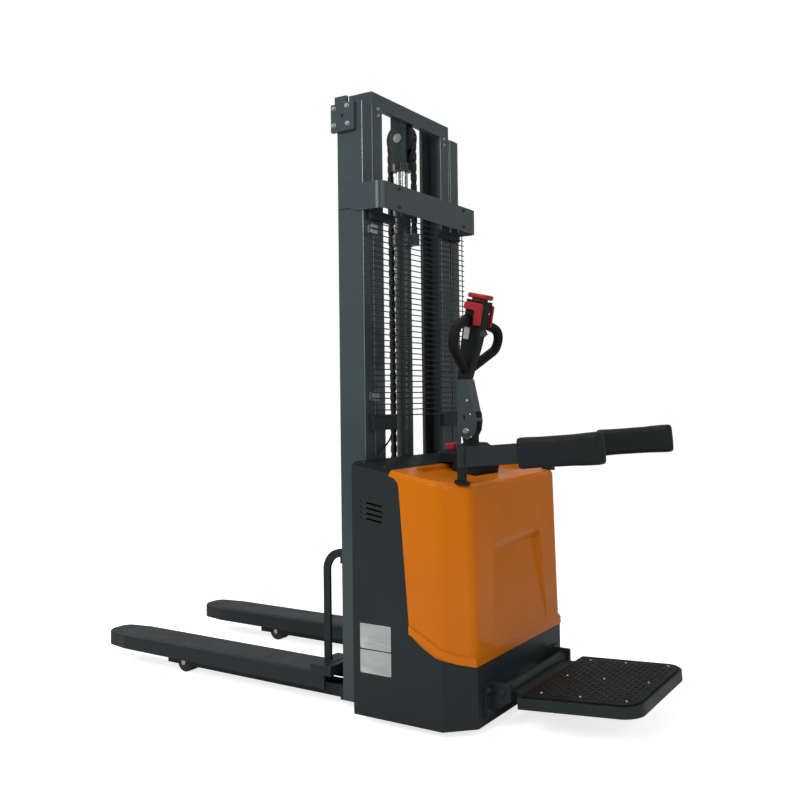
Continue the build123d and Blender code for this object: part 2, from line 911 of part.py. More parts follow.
# Sheave: grooved wheel that the chain runs over
groove_d = sheave_pitch_d - chain_height - 2 * slide_gap
with BuildPart() as chain_sheave:
    rod_x(sheave_flange_d, (-sheave_width / 2, sheave_width / 2), at(mast_mid), sheave_z)
    groove = chain_width / 2 + slide_gap
    with BuildSketch(Plane.YZ.offset(-groove)):
        with Locations((at(mast_mid), sheave_z)):
            Circle(sheave_flange_d / 2)
            Circle(groove_d / 2, mode=Mode.SUBTRACT)
    extrude(amount=2 * groove, mode=Mode.SUBTRACT)
    rod_x(
        sheave_pin_d + 2 * running_fit,
        (-sheave_width / 2, sheave_width / 2),
        at(mast_mid),
        sheave_z,
        Mode.SUBTRACT,
    )
keep(chain_sheave, "chain_sheave")


def chain_run(y, low, high):
    """Side view of a straight leaf-chain run: wide at each pin, waisted between pins."""
    links = round((high - low) / chain_pitch)
    step = (high - low) / links
    wide = chain_height / 2
    thin = chain_waist / 2
    side = []
    for i in range(links):
        z = low + i * step
        side += [(wide, z), (wide, z + 0.45 * step), (thin, z + 0.6 * step), (thin, z + 0.85 * step)]
    side.append((wide, high))
    corners = [(y + half, z) for half, z in side] + [(y - half, z) for half, z in reversed(side)]
    with BuildLine() as outline:
        Polyline(*corners, close=True)
    make_face(outline.edges())


with BuildPart() as front_chain:
    with BuildSketch(Plane.YZ.offset(-chain_width / 2)):
        chain_run(chain_front_y, chain_lug_top, sheave_z)
        with BuildLine():
            outer_r = (sheave_pitch_d + chain_height) / 2
            inner_r = (sheave_pitch_d - chain_height) / 2
            mid = at(mast_mid)
            Line((mid + inner_r, sheave_z), (mid + outer_r, sheave_z))
            ThreePointArc((mid + outer_r, sheave_z), (mid, sheave_z + outer_r), (mid - outer_r, sheave_z))
            Line((mid - outer_r, sheave_z), (mid - inner_r, sheave_z))
            ThreePointArc((mid - inner_r, sheave_z), (mid, sheave_z + inner_r), (mid + inner_r, sheave_z))
        make_face()
    extrude(amount=chain_width)
keep(front_chain, "front_chain")

with BuildPart() as rear_chain:
    with BuildSketch(Plane.YZ.offset(-chain_width / 2)):
        chain_run(chain_rear_y, anchor_top, sheave_z)
    extrude(amount=chain_width)
keep(rear_chain, "rear_chain")

# Limit switches on the left upright's rear flange
switch_x = -(mast_half - outer_flange / 2)
switch_heights = (mesh_bottom + mesh_bracket_height, anchor_z)
with BuildPart() as limit_switches:
    for z in switch_heights:
        block(
            (switch_x - mesh_wire * 2, switch_x + guide_boss_d),
            (at(mesh_reach + mesh_wire), at(mast_rear)),
            (z, z + guide_boss_d),
        )
    fillet(limit_switches.edges().filter_by(Axis.Y), mesh_wire)
keep(limit_switches, "limit_switches")

# Cable from the lower bracket down to the deck, held at both ends
bracket_foot = mesh_bottom + mesh_wire - mesh_bracket_height
cable_top = Vector(-mesh_bracket_in - 4 * cable_d, at(mast_rear - 2 * cable_d), bracket_foot)
cable_foot = Vector(-mesh_bracket_out, at(cable_reach), deck_z(cable_reach))
cable_points = [
    cable_top,
    cable_top + (0, 0, -4 * cable_d),
    (cable_top + cable_foot) * 0.5 + (cable_d, 0, -cable_d),
    cable_foot + (0, 0, 4 * cable_d),
    cable_foot + (0, 0, -deck_plate),
]
with BuildPart() as switch_cable:
    with BuildLine() as cable_path:
        FilletPolyline(*cable_points, radius=2 * cable_d)
    with BuildSketch(Plane(origin=cable_path.line @ 0, z_dir=cable_path.line % 0)):
        Circle(cable_d / 2)
    sweep(path=cable_path.line)
keep(switch_cable, "switch_cable")

# Inner mast uprights, with the stub axles of their lower rollers
inner_rear = mast_rear + inner_step
inner_depth = mast_depth - 2 * inner_step
stub_end = mast_half - outer_web - inner_gap
with BuildPart() as inner_mast_left:
    with BuildSketch(Plane.XY.offset(inner_foot)):
        with Locations((-inner_x + inner_width / 2, at(mast_mid))):
            Rectangle(inner_width, inner_depth)
        with Locations((-inner_x + (inner_width + inner_web) / 2, at(mast_mid))):
            Rectangle(inner_width - inner_web, inner_depth - 2 * inner_flange_plate, mode=Mode.SUBTRACT)
    extrude(amount=inner_top - inner_foot)
    rod_x(stub_d, (-stub_end, -inner_x), at(mast_mid), inner_roller_z)
keep(inner_mast_left, "inner_mast_left")

with BuildPart() as inner_mast_right:
    add(mirror(inner_mast_left.part, about=Plane.YZ))
keep(inner_mast_right, "inner_mast_right")

# Beams that tie the inner uprights together
with BuildPart() as inner_mast_beams:
    with BuildSketch(Plane.YZ.offset(-inner_tip)):
        with BuildLine():
            Polyline(
                (at(inner_rear), inner_top - top_beam_height),
                (at(inner_rear), inner_top),
                (at(inner_rear + inner_depth), inner_top),
                (at(inner_rear + inner_depth), inner_top - beam_plate),
                (at(inner_rear + beam_plate), inner_top - beam_plate),
                (at(inner_rear + beam_plate), inner_top - top_beam_height),
                close=True,
            )
        make_face()
    extrude(amount=2 * inner_tip)
    block(
        (-inner_tip, inner_tip),
        (at(inner_rear), at(inner_rear + inner_flange_plate)),
        (bottom_beam_z, bottom_beam_z + bottom_beam_height),
    )
keep(inner_mast_beams, "inner_mast_beams")


def roller_pair(diameter, x_inside, z):
    """Two coaxial rollers bored for their stub axles, x_inside being their inner faces."""
    with BuildPart() as pair:
        for sign in (-1, 1):
            span = sorted((sign * x_inside, sign * (x_inside + roller_width)))
            rod_x(diameter, span, at(mast_mid), z)
        fillet(pair.edges().filter_by(GeomType.CIRCLE), root_round / 2)
        for sign in (-1, 1):
            span = sorted((sign * x_inside, sign * (x_inside + roller_width)))
            rod_x(stub_d + 2 * running_fit, span, at(mast_mid), z, Mode.SUBTRACT)
    return pair


outer_track = mast_depth - 2 * outer_flange_plate - 2 * slide_gap
inner_track = inner_depth - 2 * inner_flange_plate - 2 * slide_gap
keep(roller_pair(outer_track, stub_end - roller_width - slide_gap, inner_roller_z), "inner_mast_rollers")
carriage_roller_x = inner_tip + inner_gap
keep(roller_pair(inner_track, carriage_roller_x, carriage_roller_low), "carriage_rollers_low")
keep(roller_pair(inner_track, carriage_roller_x, carriage_roller_high), "carriage_rollers_high")

# Carriage: side plates with roller stubs, heel plate over the legs, upper bar
side_out = inner_tip - carriage_gap
side_in = side_out - carriage_plate
carriage_stub = carriage_roller_x + roller_width - slide_gap
with BuildPart() as carriage_frame:
    for sign in (-1, 1):
        plate = sorted((sign * side_in, sign * side_out))
        block(plate, (at(carriage_side_rear), at(heel_rear)), (carriage_side_foot, upper_bar_top))
        for z in (carriage_roller_low, carriage_roller_high):
            rod_x(stub_d, sorted((sign * side_out, sign * carriage_stub)), at(mast_mid), z)
    block((-fork_outer, fork_outer), (at(heel_rear), at(heel_front)), (heel_bottom, heel_top))
    block(
        (-upper_bar_half, upper_bar_half),
        (at(upper_bar_rear), at(upper_bar_rear + upper_bar_plate)),
        (upper_bar_bottom, upper_bar_top),
    )
    block(
        (-chain_lug_half, chain_lug_half),
        (at(chain_lug_rear), at(upper_bar_rear)),
        (upper_bar_bottom, chain_lug_top),
    )
keep(carriage_frame, "carriage_frame")

# Forks: inverted channels over the legs, with tapered noses
nose_start = fork_tip - fork_nose
with BuildPart() as fork_left:
    with BuildSketch(Plane.XY.offset(fork_skirt)):
        tip_half = fork_tip_width / 2
        with BuildLine():
            Polyline(
                (-fork_outer, at(heel_front)),
                (-fork_inner, at(heel_front)),
                (-fork_inner, at(nose_start)),
                (-fork_mid + tip_half, at(fork_tip)),
                (-fork_mid - tip_half, at(fork_tip)),
                (-fork_outer, at(nose_start)),
                close=True,
            )
        fork_outline = make_face()
        tip_corners = fork_outline.vertices().group_by(Axis.Y)[-1]
        fillet(tip_corners, fork_tip_round)
    extrude(amount=fork_top - fork_skirt)
    top_edges = fork_left.faces().sort_by(Axis.Z)[-1].edges().filter_by(
        lambda e: e.center().Y > at(heel_front) + seam
    )
    fillet(top_edges, fork_edge_round)
    block(
        (-fork_outer, -fork_inner),
        (at(heel_front), at(heel_front + fork_heel)),
        (fork_top - fork_top_plate, heel_top),
    )
    block(
        (-fork_outer + fork_side_plate, -fork_inner - fork_side_plate),
        (at(heel_front), at(nose_start)),
        (fork_skirt, fork_top - fork_top_plate),
        Mode.SUBTRACT,
    )
keep(fork_left, "fork_left")

with BuildPart() as fork_right:
    add(mirror(fork_left.part, about=Plane.YZ))
keep(fork_right, "fork_right")

# Backrest hoops: flat bars from the fork heels back to the carriage's upper bar
hoop_rear = at(upper_bar_rear + upper_bar_plate)
with BuildPart() as backrest_hoops:
    for sign in (-1, 1):
        with BuildLine() as hoop_path:
            rise = Line(
                (sign * hoop_x, at(hoop_reach), heel_top), (sign * hoop_x, at(hoop_reach), hoop_top - hoop_bend)
            )
            bend_mid = hoop_bend * (1 - math.sqrt(0.5))
            bend = ThreePointArc(
                rise @ 1,
                (sign * hoop_x, at(hoop_reach) - bend_mid, hoop_top - bend_mid),
                (sign * hoop_x, at(hoop_reach) - hoop_bend, hoop_top),
            )
            Line(bend @ 1, (sign * hoop_x, hoop_rear, hoop_top))
        foot_plane = Plane(origin=(sign * hoop_x, at(hoop_reach), heel_top), x_dir=(1, 0, 0), z_dir=(0, 0, 1))
        with BuildSketch(foot_plane):
            Rectangle(hoop_thick, hoop_bar)
        sweep(path=hoop_path.line)
keep(backrest_hoops, "backrest_hoops")

# Straddle legs: inverted channels from the uprights' feet to the load rollers
leg_half = leg_width / 2
axle_z = load_roller_d / 2
with BuildPart() as straddle_leg_left:
    block((-leg_x - leg_half, -leg_x + leg_half), (at(mast_front), at(leg_front)), (leg_bottom, leg_top))
    block(
        (-leg_x - leg_half + leg_wall, -leg_x + leg_half - leg_wall),
        (at(mast_front + leg_foot_plate), at(leg_front)),
        (leg_bottom, leg_top - leg_wall),
        Mode.SUBTRACT,
    )
    block(
        (-leg_x - leg_half + leg_wall, -leg_x + leg_half - leg_wall),
        (at(load_roller_reach - roller_well / 2), at(load_roller_reach + roller_well / 2)),
        (leg_top - leg_wall, leg_top),
        Mode.SUBTRACT,
    )
    block(
        (-mast_half, -leg_x + leg_half),
        (at(mast_front), at(mast_front + leg_foot_plate)),
        (mast_foot, leg_top),
    )
    rod_x(load_axle_d, (-leg_x - leg_half, -leg_x + leg_half), at(load_roller_reach), axle_z, Mode.SUBTRACT)
keep(straddle_leg_left, "straddle_leg_left")

with BuildPart() as straddle_leg_right:
    add(mirror(straddle_leg_left.part, about=Plane.YZ))
keep(straddle_leg_right, "straddle_leg_right")

with BuildPart() as load_axles:
    for sign in (-1, 1):
        rod_x(
            load_axle_d,
            (sign * leg_x - leg_half, sign * leg_x + leg_half),
            at(load_roller_reach),
            axle_z,
        )
keep(load_axles, "load_axles")

roller_half = leg_half - leg_wall - load_roller_side_gap
for side, sign in (("left", -1), ("right", 1)):
    with BuildPart() as load_roller:
        span = (sign * leg_x - roller_half, sign * leg_x + roller_half)
        rod_x(load_roller_d, span, at(load_roller_reach), axle_z)
        fillet(load_roller.edges().filter_by(GeomType.CIRCLE), root_round / 2)
        rod_x(load_axle_d + 2 * running_fit, span, at(load_roller_reach), axle_z, Mode.SUBTRACT)
    keep(load_roller, f"load_roller_{side}")

# Drive unit: gearbox beside and over the wheel, neck through the battery shelf, motor on top
wheel_half = drive_wheel_width / 2
drive_axle_z = drive_wheel_d / 2
gearbox_in = wheel_half + gearbox_gap
gearbox_roof = drive_wheel_d + gearbox_roof_gap
with BuildPart() as drive_unit:
    with BuildSketch(Plane.YZ.offset(gearbox_in)):
        with Locations((at(steer_reach), drive_axle_z)):
            Circle(gearbox_length / 2)
        with Locations((at(steer_reach), (drive_axle_z + shelf_top - frame_plate - seam) / 2)):
            Rectangle(gearbox_length, shelf_top - frame_plate - seam - drive_axle_z)
    extrude(amount=gearbox_plate)
    block(
        (-gearbox_in, gearbox_in),
        (at(steer_reach) - gearbox_length / 2, at(steer_reach) + gearbox_length / 2),
        (gearbox_roof, shelf_top - frame_plate - seam),
    )
    rod_z(drive_neck_d, 0, at(steer_reach), (shelf_top - frame_plate - seam, shelf_top + seam))
    rod_z(motor_d, 0, at(steer_reach), (shelf_top + seam, shelf_top + seam + motor_height))
    rod_x(drive_bore_d, (-wheel_half, gearbox_in), at(steer_reach), drive_axle_z)
keep(drive_unit, "drive_unit")

with BuildPart() as drive_wheel:
    rod_x(drive_wheel_d, (-wheel_half, wheel_half), at(steer_reach), drive_axle_z)
    fillet(drive_wheel.edges().filter_by(GeomType.CIRCLE), root_round)
    rod_x(
        drive_bore_d + 2 * running_fit, (-wheel_half, wheel_half), at(steer_reach), drive_axle_z, Mode.SUBTRACT
    )
keep(drive_wheel, "drive_wheel")

# Steering head: column, base cone and the clevis of the tiller's pivot
motor_top = shelf_top + seam + motor_height
with BuildPart() as steering_head:
    rod_z(column_d, 0, at(steer_reach), (motor_top, cone_z))
    with Locations((0, at(steer_reach), cone_z + cone_height / 2)):
        Cone(cone_d / 2, cone_neck_d / 2, cone_height)
    clevis_half = arm_half - arm_plate - clevis_gap
    with BuildSketch(Plane.YZ.offset(-clevis_half)):
        with BuildLine():
            Polyline(
                (at(pivot_reach) - clevis_round, cone_z + cone_height / 2),
                (at(pivot_reach) + clevis_round * 0.6, cone_z + cone_height / 2),
                (at(pivot_reach) + clevis_round, pivot_z),
                (at(pivot_reach) - clevis_round, pivot_z),
                close=True,
            )
        make_face()
        with Locations((at(pivot_reach), pivot_z)):
            Circle(clevis_round)
            Circle(pivot_pin_d / 2 + running_fit, mode=Mode.SUBTRACT)
    extrude(amount=2 * clevis_half)
keep(steering_head, "steering_head")

# Tiller arm: folded channel, open below and at the front foot, with its pivot pin
def arm_side(inset, mode=Mode.ADD):
    """Side view of the tiller arm, its edges moved in by inset except at the foot."""
    front = at(arm_front_reach - inset)
    low_rear = at(arm_low_reach + inset)
    foot = at(pivot_reach) - arm_round * 0.8
    with BuildLine() as outline:
        Polyline(
            (front, arm_top - inset),
            (at(arm_front_reach - arm_top_depth) + inset, arm_top - inset),
            (low_rear, arm_low_z),
            (low_rear + arm_plate, pivot_z + arm_plate),
            (foot, pivot_z - arm_round * 0.6),
        )
        ThreePointArc(
            (foot, pivot_z - arm_round * 0.6),
            (at(pivot_reach), pivot_z - arm_round),
            (at(pivot_reach) + arm_round * 0.8, pivot_z - arm_round * 0.6),
        )
        Polyline(
            (at(pivot_reach) + arm_round * 0.8, pivot_z - arm_round * 0.6),
            (front, pivot_z),
            (front, arm_top - inset),
        )
    make_face(outline.edges(), mode=mode)


with BuildPart() as tiller_arm:
    with BuildSketch(Plane.YZ):
        arm_side(0)
    extrude(amount=arm_half, both=True)
    with BuildSketch(Plane.YZ):
        arm_side(arm_plate)
    extrude(amount=arm_half - arm_plate, both=True, mode=Mode.SUBTRACT)
    block(
        (-arm_half + arm_plate, arm_half - arm_plate),
        (at(arm_low_reach), at(arm_front_reach)),
        (pivot_z - arm_round, arm_low_z - arm_plate),
        Mode.SUBTRACT,
    )
    rod_x(pivot_pin_d, (-arm_half - arm_plate, arm_half + arm_plate), at(pivot_reach), pivot_z)
keep(tiller_arm, "tiller_arm")

# Tiller head, drawn on the leaning plane of the loop; its local Y runs up the head
lean = math.radians(head_lean)
head_plane = Plane(
    origin=(0, at(head_reach), arm_top),
    x_dir=(1, 0, 0),
    z_dir=(0, -math.cos(lean), -math.sin(lean)),
)


def head_point(x, s, out=0.0):
    """Point x across and s up the head, out towards the operator."""
    y = at(head_reach) - s * math.sin(lean) - out * math.cos(lean)
    return (x, y, arm_top + s * math.cos(lean) - out * math.sin(lean))


def head_section(s):
    """Plane across the head, s up from its foot."""
    return Plane(
        origin=head_point(0, s),
        x_dir=(1, 0, 0),
        z_dir=(0, -math.sin(lean), math.cos(lean)),
    )


loop_route = [
    head_point(-head_low_half / 2, loop_foot),
    head_point(-loop_half, loop_wide_low, loop_sweep),
    head_point(-loop_half, loop_wide_high, loop_sweep),
    head_point(-head_high_half / 2, loop_shoulder, -loop_forward),
]
with BuildPart() as tiller_head:
    for s, half, thick in (
        (-head_sink, head_low_half, head_low_thick),
        (head_mid_s, head_low_half, head_mid_thick),
        (head_length, head_high_half, head_high_thick),
    ):
        with BuildSketch(head_section(s)):
            RectangleRounded(2 * half, thick, head_round)
    loft(ruled=True)
    block(
        (-cap_half, cap_half),
        (at(head_reach - head_length), at(head_reach + head_length)),
        (arm_top - head_high_thick, arm_top),
        Mode.SUBTRACT,
    )
    throttle_y, throttle_z = head_point(0, throttle_s, throttle_out)[1:]
    rod_x(throttle_shaft_d + 2 * running_fit, (-cap_half, cap_half), throttle_y, throttle_z, Mode.SUBTRACT)
    pocket_depth = stem_depth + cap_travel + seam
    with BuildSketch(head_plane.offset(-stem_thick / 2 - slide_gap)):
        with Locations((0, head_length - pocket_depth / 2)):
            Rectangle(2 * stem_half + 2 * slide_gap, pocket_depth)
    extrude(amount=stem_thick + 2 * slide_gap, mode=Mode.SUBTRACT)
    head_slope = (head_high_thick - head_mid_thick) / (head_length - head_mid_s) / 2
    rocker_out = head_mid_thick / 2 + head_slope * (rocker_s - head_mid_s) - rocker_sink
    rocker_y, rocker_z = head_point(0, rocker_s, rocker_out)[1:]
    pocket_half = rocker_length / 2 + slide_gap
    rod_x(rocker_d + 2 * slide_gap, (-pocket_half, pocket_half), rocker_y, rocker_z, Mode.SUBTRACT)
keep(tiller_head, "tiller_head")

with BuildPart() as tiller_loop:
    with BuildLine() as loop_path:
        FilletPolyline(*loop_route, radius=loop_bend)
    with BuildSketch(Plane(origin=loop_path.line @ 0, z_dir=loop_path.line % 0)):
        Circle(loop_d / 2)
    sweep(path=loop_path.line)
    mirror(about=Plane.YZ)
    add(tiller_head.part, mode=Mode.SUBTRACT)
keep(tiller_loop, "tiller_loop")

# Belly button: rounded cap on top of the head, with a stem in it
cap_low = head_length + cap_gap
with BuildPart() as belly_button:
    with BuildSketch(head_section(cap_low)):
        RectangleRounded(2 * cap_half, cap_thick, 3 * cap_round)
    extrude(amount=cap_height)
    fillet(belly_button.faces().sort_by(Axis.Z)[-1].edges(), cap_round)
    with BuildSketch(head_plane.offset(-stem_thick / 2)):
        with Locations((0, (head_length - stem_depth + cap_low + cap_gap) / 2)):
            Rectangle(2 * stem_half, cap_low + cap_gap - head_length + stem_depth)
    extrude(amount=stem_thick)
keep(belly_button, "belly_button")

# Throttle: shaft through the head with a thumb paddle on each side, a lobe above a tongue
paddle_in = head_high_half + throttle_gap
paddle_out = paddle_in + throttle_width
paddle_corners = [
    head_point(0, lobe_low, -lobe_out),
    head_point(0, lobe_low + lobe_height, -lobe_out),
    head_point(0, lobe_low + lobe_height, tongue_out - throttle_gap),
    head_point(0, lobe_low - tongue_height, tongue_out),
    head_point(0, lobe_low - tongue_height, tongue_in),
    head_point(0, lobe_low, tongue_in - throttle_gap),
]
with BuildPart() as throttle:
    rod_x(throttle_shaft_d, (-paddle_in - throttle_gap, paddle_in + throttle_gap), throttle_y, throttle_z)
    for sign in (-1, 1):
        with BuildSketch(Plane.YZ.offset(sign * paddle_in)):
            with BuildLine():
                Polyline(*[point[1:] for point in paddle_corners], close=True)
            paddle_face = make_face()
            fillet(paddle_face.vertices(), paddle_round)
        extrude(amount=sign * throttle_width)
    outer_faces = throttle.faces().filter_by(lambda f: abs(f.center().X) > paddle_out - throttle_gap / 2)
    fillet(outer_faces.edges(), throttle_gap)
keep(throttle, "throttle")

# Lift and lower rocker on the operator's face of the head
with BuildPart() as lift_rocker:
    rod_x(rocker_d, (-rocker_length / 2, rocker_length / 2), rocker_y, rocker_z)
    with BuildSketch(head_plane.offset(rocker_out)):
        with Locations((0, rocker_s)):
            Rectangle(rocker_length, rocker_rib)
    extrude(amount=rocker_d / 2 + rocker_rib)
keep(lift_rocker, "lift_rocker")

# Console at the tiller's foot: stands in the dish and spreads over the rim
console_spread = deck_z(console_front) + slide_gap * 10
with BuildPart() as tiller_console:
    with BuildSketch(deck_plane.offset(-dish_depth)):
        with Locations((0, steer_reach / slope_cos)):
            RectangleRounded(2 * console_half, 2 * console_foot, rim_round)
    extrude(amount=console_top - deck_rear_z)
    with BuildSketch(Plane.XY.offset(console_top)):
        with Locations((0, at(steer_reach))):
            Rectangle(chassis_width, chassis_length)
    extrude(amount=console_top - deck_rear_z, mode=Mode.SUBTRACT)
    with BuildSketch(Plane.XY.offset(console_spread)):
        with Locations((0, at((console_rear + console_front) / 2))):
            RectangleRounded(2 * console_half, console_front - console_rear, rim_round)
    extrude(amount=console_top - console_spread)
    rim = tiller_console.faces().sort_by(Axis.Z)[-1].edges()
    fillet(rim, rim_round / 3)
    rod_z(column_d * 1.2, 0, at(steer_reach), (deck_rear_z - dish_depth, console_top), Mode.SUBTRACT)
    stop_floor = console_top - 2 * stop_travel - seam
    rod_z(stop_stem_d + 2 * running_fit, stop_x, at(stop_reach), (stop_floor, console_top), Mode.SUBTRACT)
keep(tiller_console, "tiller_console")

# Emergency stop knob
stop_low = console_top + stop_travel + seam
with BuildPart() as emergency_stop:
    rod_z(stop_d, stop_x, at(stop_reach), (stop_low, stop_low + stop_height))
    fillet(emergency_stop.faces().sort_by(Axis.Z)[-1].edges(), stop_height / 3)
    rod_z(stop_stem_d, stop_x, at(stop_reach), (stop_floor + stop_travel, stop_low))
keep(emergency_stop, "emergency_stop")

# Posts of the guard arms, on flanges on the cover's rim
sleeve_d = post_d + 2 * running_fit + 2 * sleeve_wall
with BuildPart() as arm_posts:
    for sign in (-1, 1):
        with BuildSketch(deck_plane):
            with Locations((sign * post_x, post_reach / slope_cos)):
                Circle(post_base_d / 2)
        extrude(amount=post_base_plate)
        foot_z = deck_z(post_reach) + post_base_plate / 2
        rod_z(sleeve_d, sign * post_x, at(post_reach), (foot_z, sleeve_bottom - slide_gap))
        rod_z(post_d, sign * post_x, at(post_reach), (foot_z, post_top))
keep(arm_posts, "arm_posts")

# Guard arms: sleeve on the post and a flat bar, rising to the rear, that carries the pad
rise = math.radians(arm_rise)
for side, sign in (("left", -1), ("right", 1)):
    bar_plane = Plane(
        origin=(sign * post_x, at(post_reach), arm_bar_z),
        x_dir=(0, -math.cos(rise), math.sin(rise)),
        z_dir=(1, 0, 0),
    )
    with BuildPart() as guard_arm:
        with BuildSketch(bar_plane):
            with Locations((arm_bar_length / 2, 0)):
                Rectangle(arm_bar_length, arm_bar_height)
        extrude(amount=arm_bar / 2, both=True)
        rod_z(sleeve_d, sign * post_x, at(post_reach), (sleeve_bottom, post_top))
        rod_z(post_d + 2 * running_fit, sign * post_x, at(post_reach), (skirt_top, inner_top), Mode.SUBTRACT)
    keep(guard_arm, f"guard_arm_{side}")

    with BuildPart() as arm_pad:
        with BuildSketch(bar_plane):
            with Locations((pad_start + pad_length / 2, 0)):
                RectangleRounded(pad_length, pad_height, pad_round)
        extrude(amount=pad_thick / 2, both=True)
        fillet(arm_pad.edges(), pad_round * 0.7)
        with BuildSketch(bar_plane):
            with Locations(((pad_start + arm_bar_length + pad_slot_gap) / 2, 0)):
                slot_length = arm_bar_length + pad_slot_gap - pad_start
                Rectangle(slot_length, arm_bar_height + 2 * pad_slot_gap)
        extrude(amount=arm_bar / 2 + pad_slot_gap, both=True, mode=Mode.SUBTRACT)
    keep(arm_pad, f"arm_pad_{side}")

# Platform bracket: two ears on base plates, joined by the hinge pin
with BuildPart() as platform_bracket:
    for sign in (-1, 1):
        with BuildSketch(Plane.YZ.offset(sign * ear_x)):
            with BuildLine():
                Polyline(
                    (at(0), ear_bottom),
                    (at(0), ear_top),
                    (at(ear_rear), ear_top),
                    (at(ear_rear), hinge_z - ear_round),
                    close=True,
                )
            ear_face = make_face()
            fillet(ear_face.vertices().group_by(Axis.Y)[0], ear_round)
        extrude(amount=sign * ear_plate)
        base = sorted((sign * (ear_x - ear_base_half / 2), sign * (ear_x + ear_base_half * 1.5)))
        block(base, (at(-ear_base_plate), at(0)), (ear_bottom, ear_top))
    pin_end = ear_x + ear_plate
    rod_x(hinge_pin_d, (-pin_end, pin_end), at(hinge_reach), hinge_z)
keep(platform_bracket, "platform_bracket")

# Platform: pressed pan on a hinge tube; its local Y runs rearward from the hinge
platform_plane = Plane(
    origin=(0, at(hinge_reach), hinge_z),
    x_dir=(-1, 0, 0),
    z_dir=(0, math.sin(tilt), math.cos(tilt)),
)


def platform_plan(inset, mode=Mode.ADD):
    """Plan of the platform with its rounded rear corners, moved in by inset."""
    front = platform_half_front - inset
    rear = platform_half_rear - inset
    with BuildLine() as outline:
        FilletPolyline(
            (-front, platform_near + inset),
            (-rear, platform_far - inset),
            (rear, platform_far - inset),
            (front, platform_near + inset),
            radius=platform_round - inset,
        )
        Line((front, platform_near + inset), (-front, platform_near + inset))
    make_face(outline.edges(), mode=mode)


tube_half = ear_x - slide_gap - seam
with BuildPart() as platform_deck:
    with BuildSketch(platform_plane.offset(-platform_depth)):
        platform_plan(0)
    extrude(amount=platform_depth - mat_thick)
    with BuildSketch(platform_plane.offset(-platform_depth)):
        platform_plan(pan_wall)
    extrude(amount=platform_depth - mat_thick - pan_wall, mode=Mode.SUBTRACT)
    with BuildSketch(platform_plane.offset(-hinge_tube_d / 2)):
        with Locations((0, (platform_near + pan_wall) / 2)):
            Rectangle(2 * platform_neck_half, platform_near + pan_wall)
    extrude(amount=hinge_tube_d / 2 - mat_thick)
    rod_x(hinge_tube_d, (-tube_half, tube_half), at(hinge_reach), hinge_z)
    rod_x(hinge_pin_d + 2 * running_fit, (-tube_half, tube_half), at(hinge_reach), hinge_z, Mode.SUBTRACT)
keep(platform_deck, "platform_deck")

with BuildPart() as platform_mat:
    with BuildSketch(platform_plane.offset(-mat_thick)):
        platform_plan(mat_inset)
    extrude(amount=mat_thick)
keep(platform_mat, "platform_mat")

# Castors: swivelling forks with trailing wheels
shelf_under = skirt_top - seam - frame_plate
crown_top = shelf_under - slide_gap
castor_axle_z = castor_wheel_d / 2
castor_axle_y = at(castor_reach - castor_trail)
castor_half = castor_wheel_width / 2
for side, sign in (("left", -1), ("right", 1)):
    stem_x = sign * castor_x
    with BuildPart() as castor_fork:
        rod_z(castor_stem_d * 2.4, stem_x, at(castor_reach), (crown_top - castor_crown, crown_top))
        nut_low = skirt_top - seam + slide_gap
        rod_z(castor_stem_d, stem_x, at(castor_reach), (crown_top, nut_low + castor_crown))
        rod_z(castor_stem_d * 1.5, stem_x, at(castor_reach), (nut_low, nut_low + castor_crown))
        for cheek in (-1, 1):
            with BuildSketch(Plane.YZ.offset(stem_x + cheek * (castor_half + castor_gap))):
                with BuildLine():
                    Polyline(
                        (at(castor_reach) - castor_stem_d, crown_top - castor_crown),
                        (at(castor_reach) + castor_stem_d, crown_top - castor_crown),
                        (castor_axle_y + castor_axle_d, castor_axle_z),
                        (castor_axle_y - castor_axle_d, castor_axle_z),
                        close=True,
                    )
                make_face()
                with Locations((castor_axle_y, castor_axle_z)):
                    Circle(castor_axle_d)
            extrude(amount=cheek * castor_fork_plate)
        cheek_out = castor_half + castor_gap + castor_fork_plate
        rod_x(castor_axle_d, (stem_x - cheek_out, stem_x + cheek_out), castor_axle_y, castor_axle_z)
    keep(castor_fork, f"castor_fork_{side}")

    with BuildPart() as castor_wheel:
        span = (stem_x - castor_half, stem_x + castor_half)
        rod_x(castor_wheel_d, span, castor_axle_y, castor_axle_z)
        fillet(castor_wheel.edges().filter_by(GeomType.CIRCLE), root_round)
        rod_x(castor_axle_d + 2 * running_fit, span, castor_axle_y, castor_axle_z, Mode.SUBTRACT)
    keep(castor_wheel, f"castor_wheel_{side}")
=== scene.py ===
import json
import math
import bmesh
import bpy
from mathutils import Matrix, Vector
from mathutils.bvhtree import BVHTree


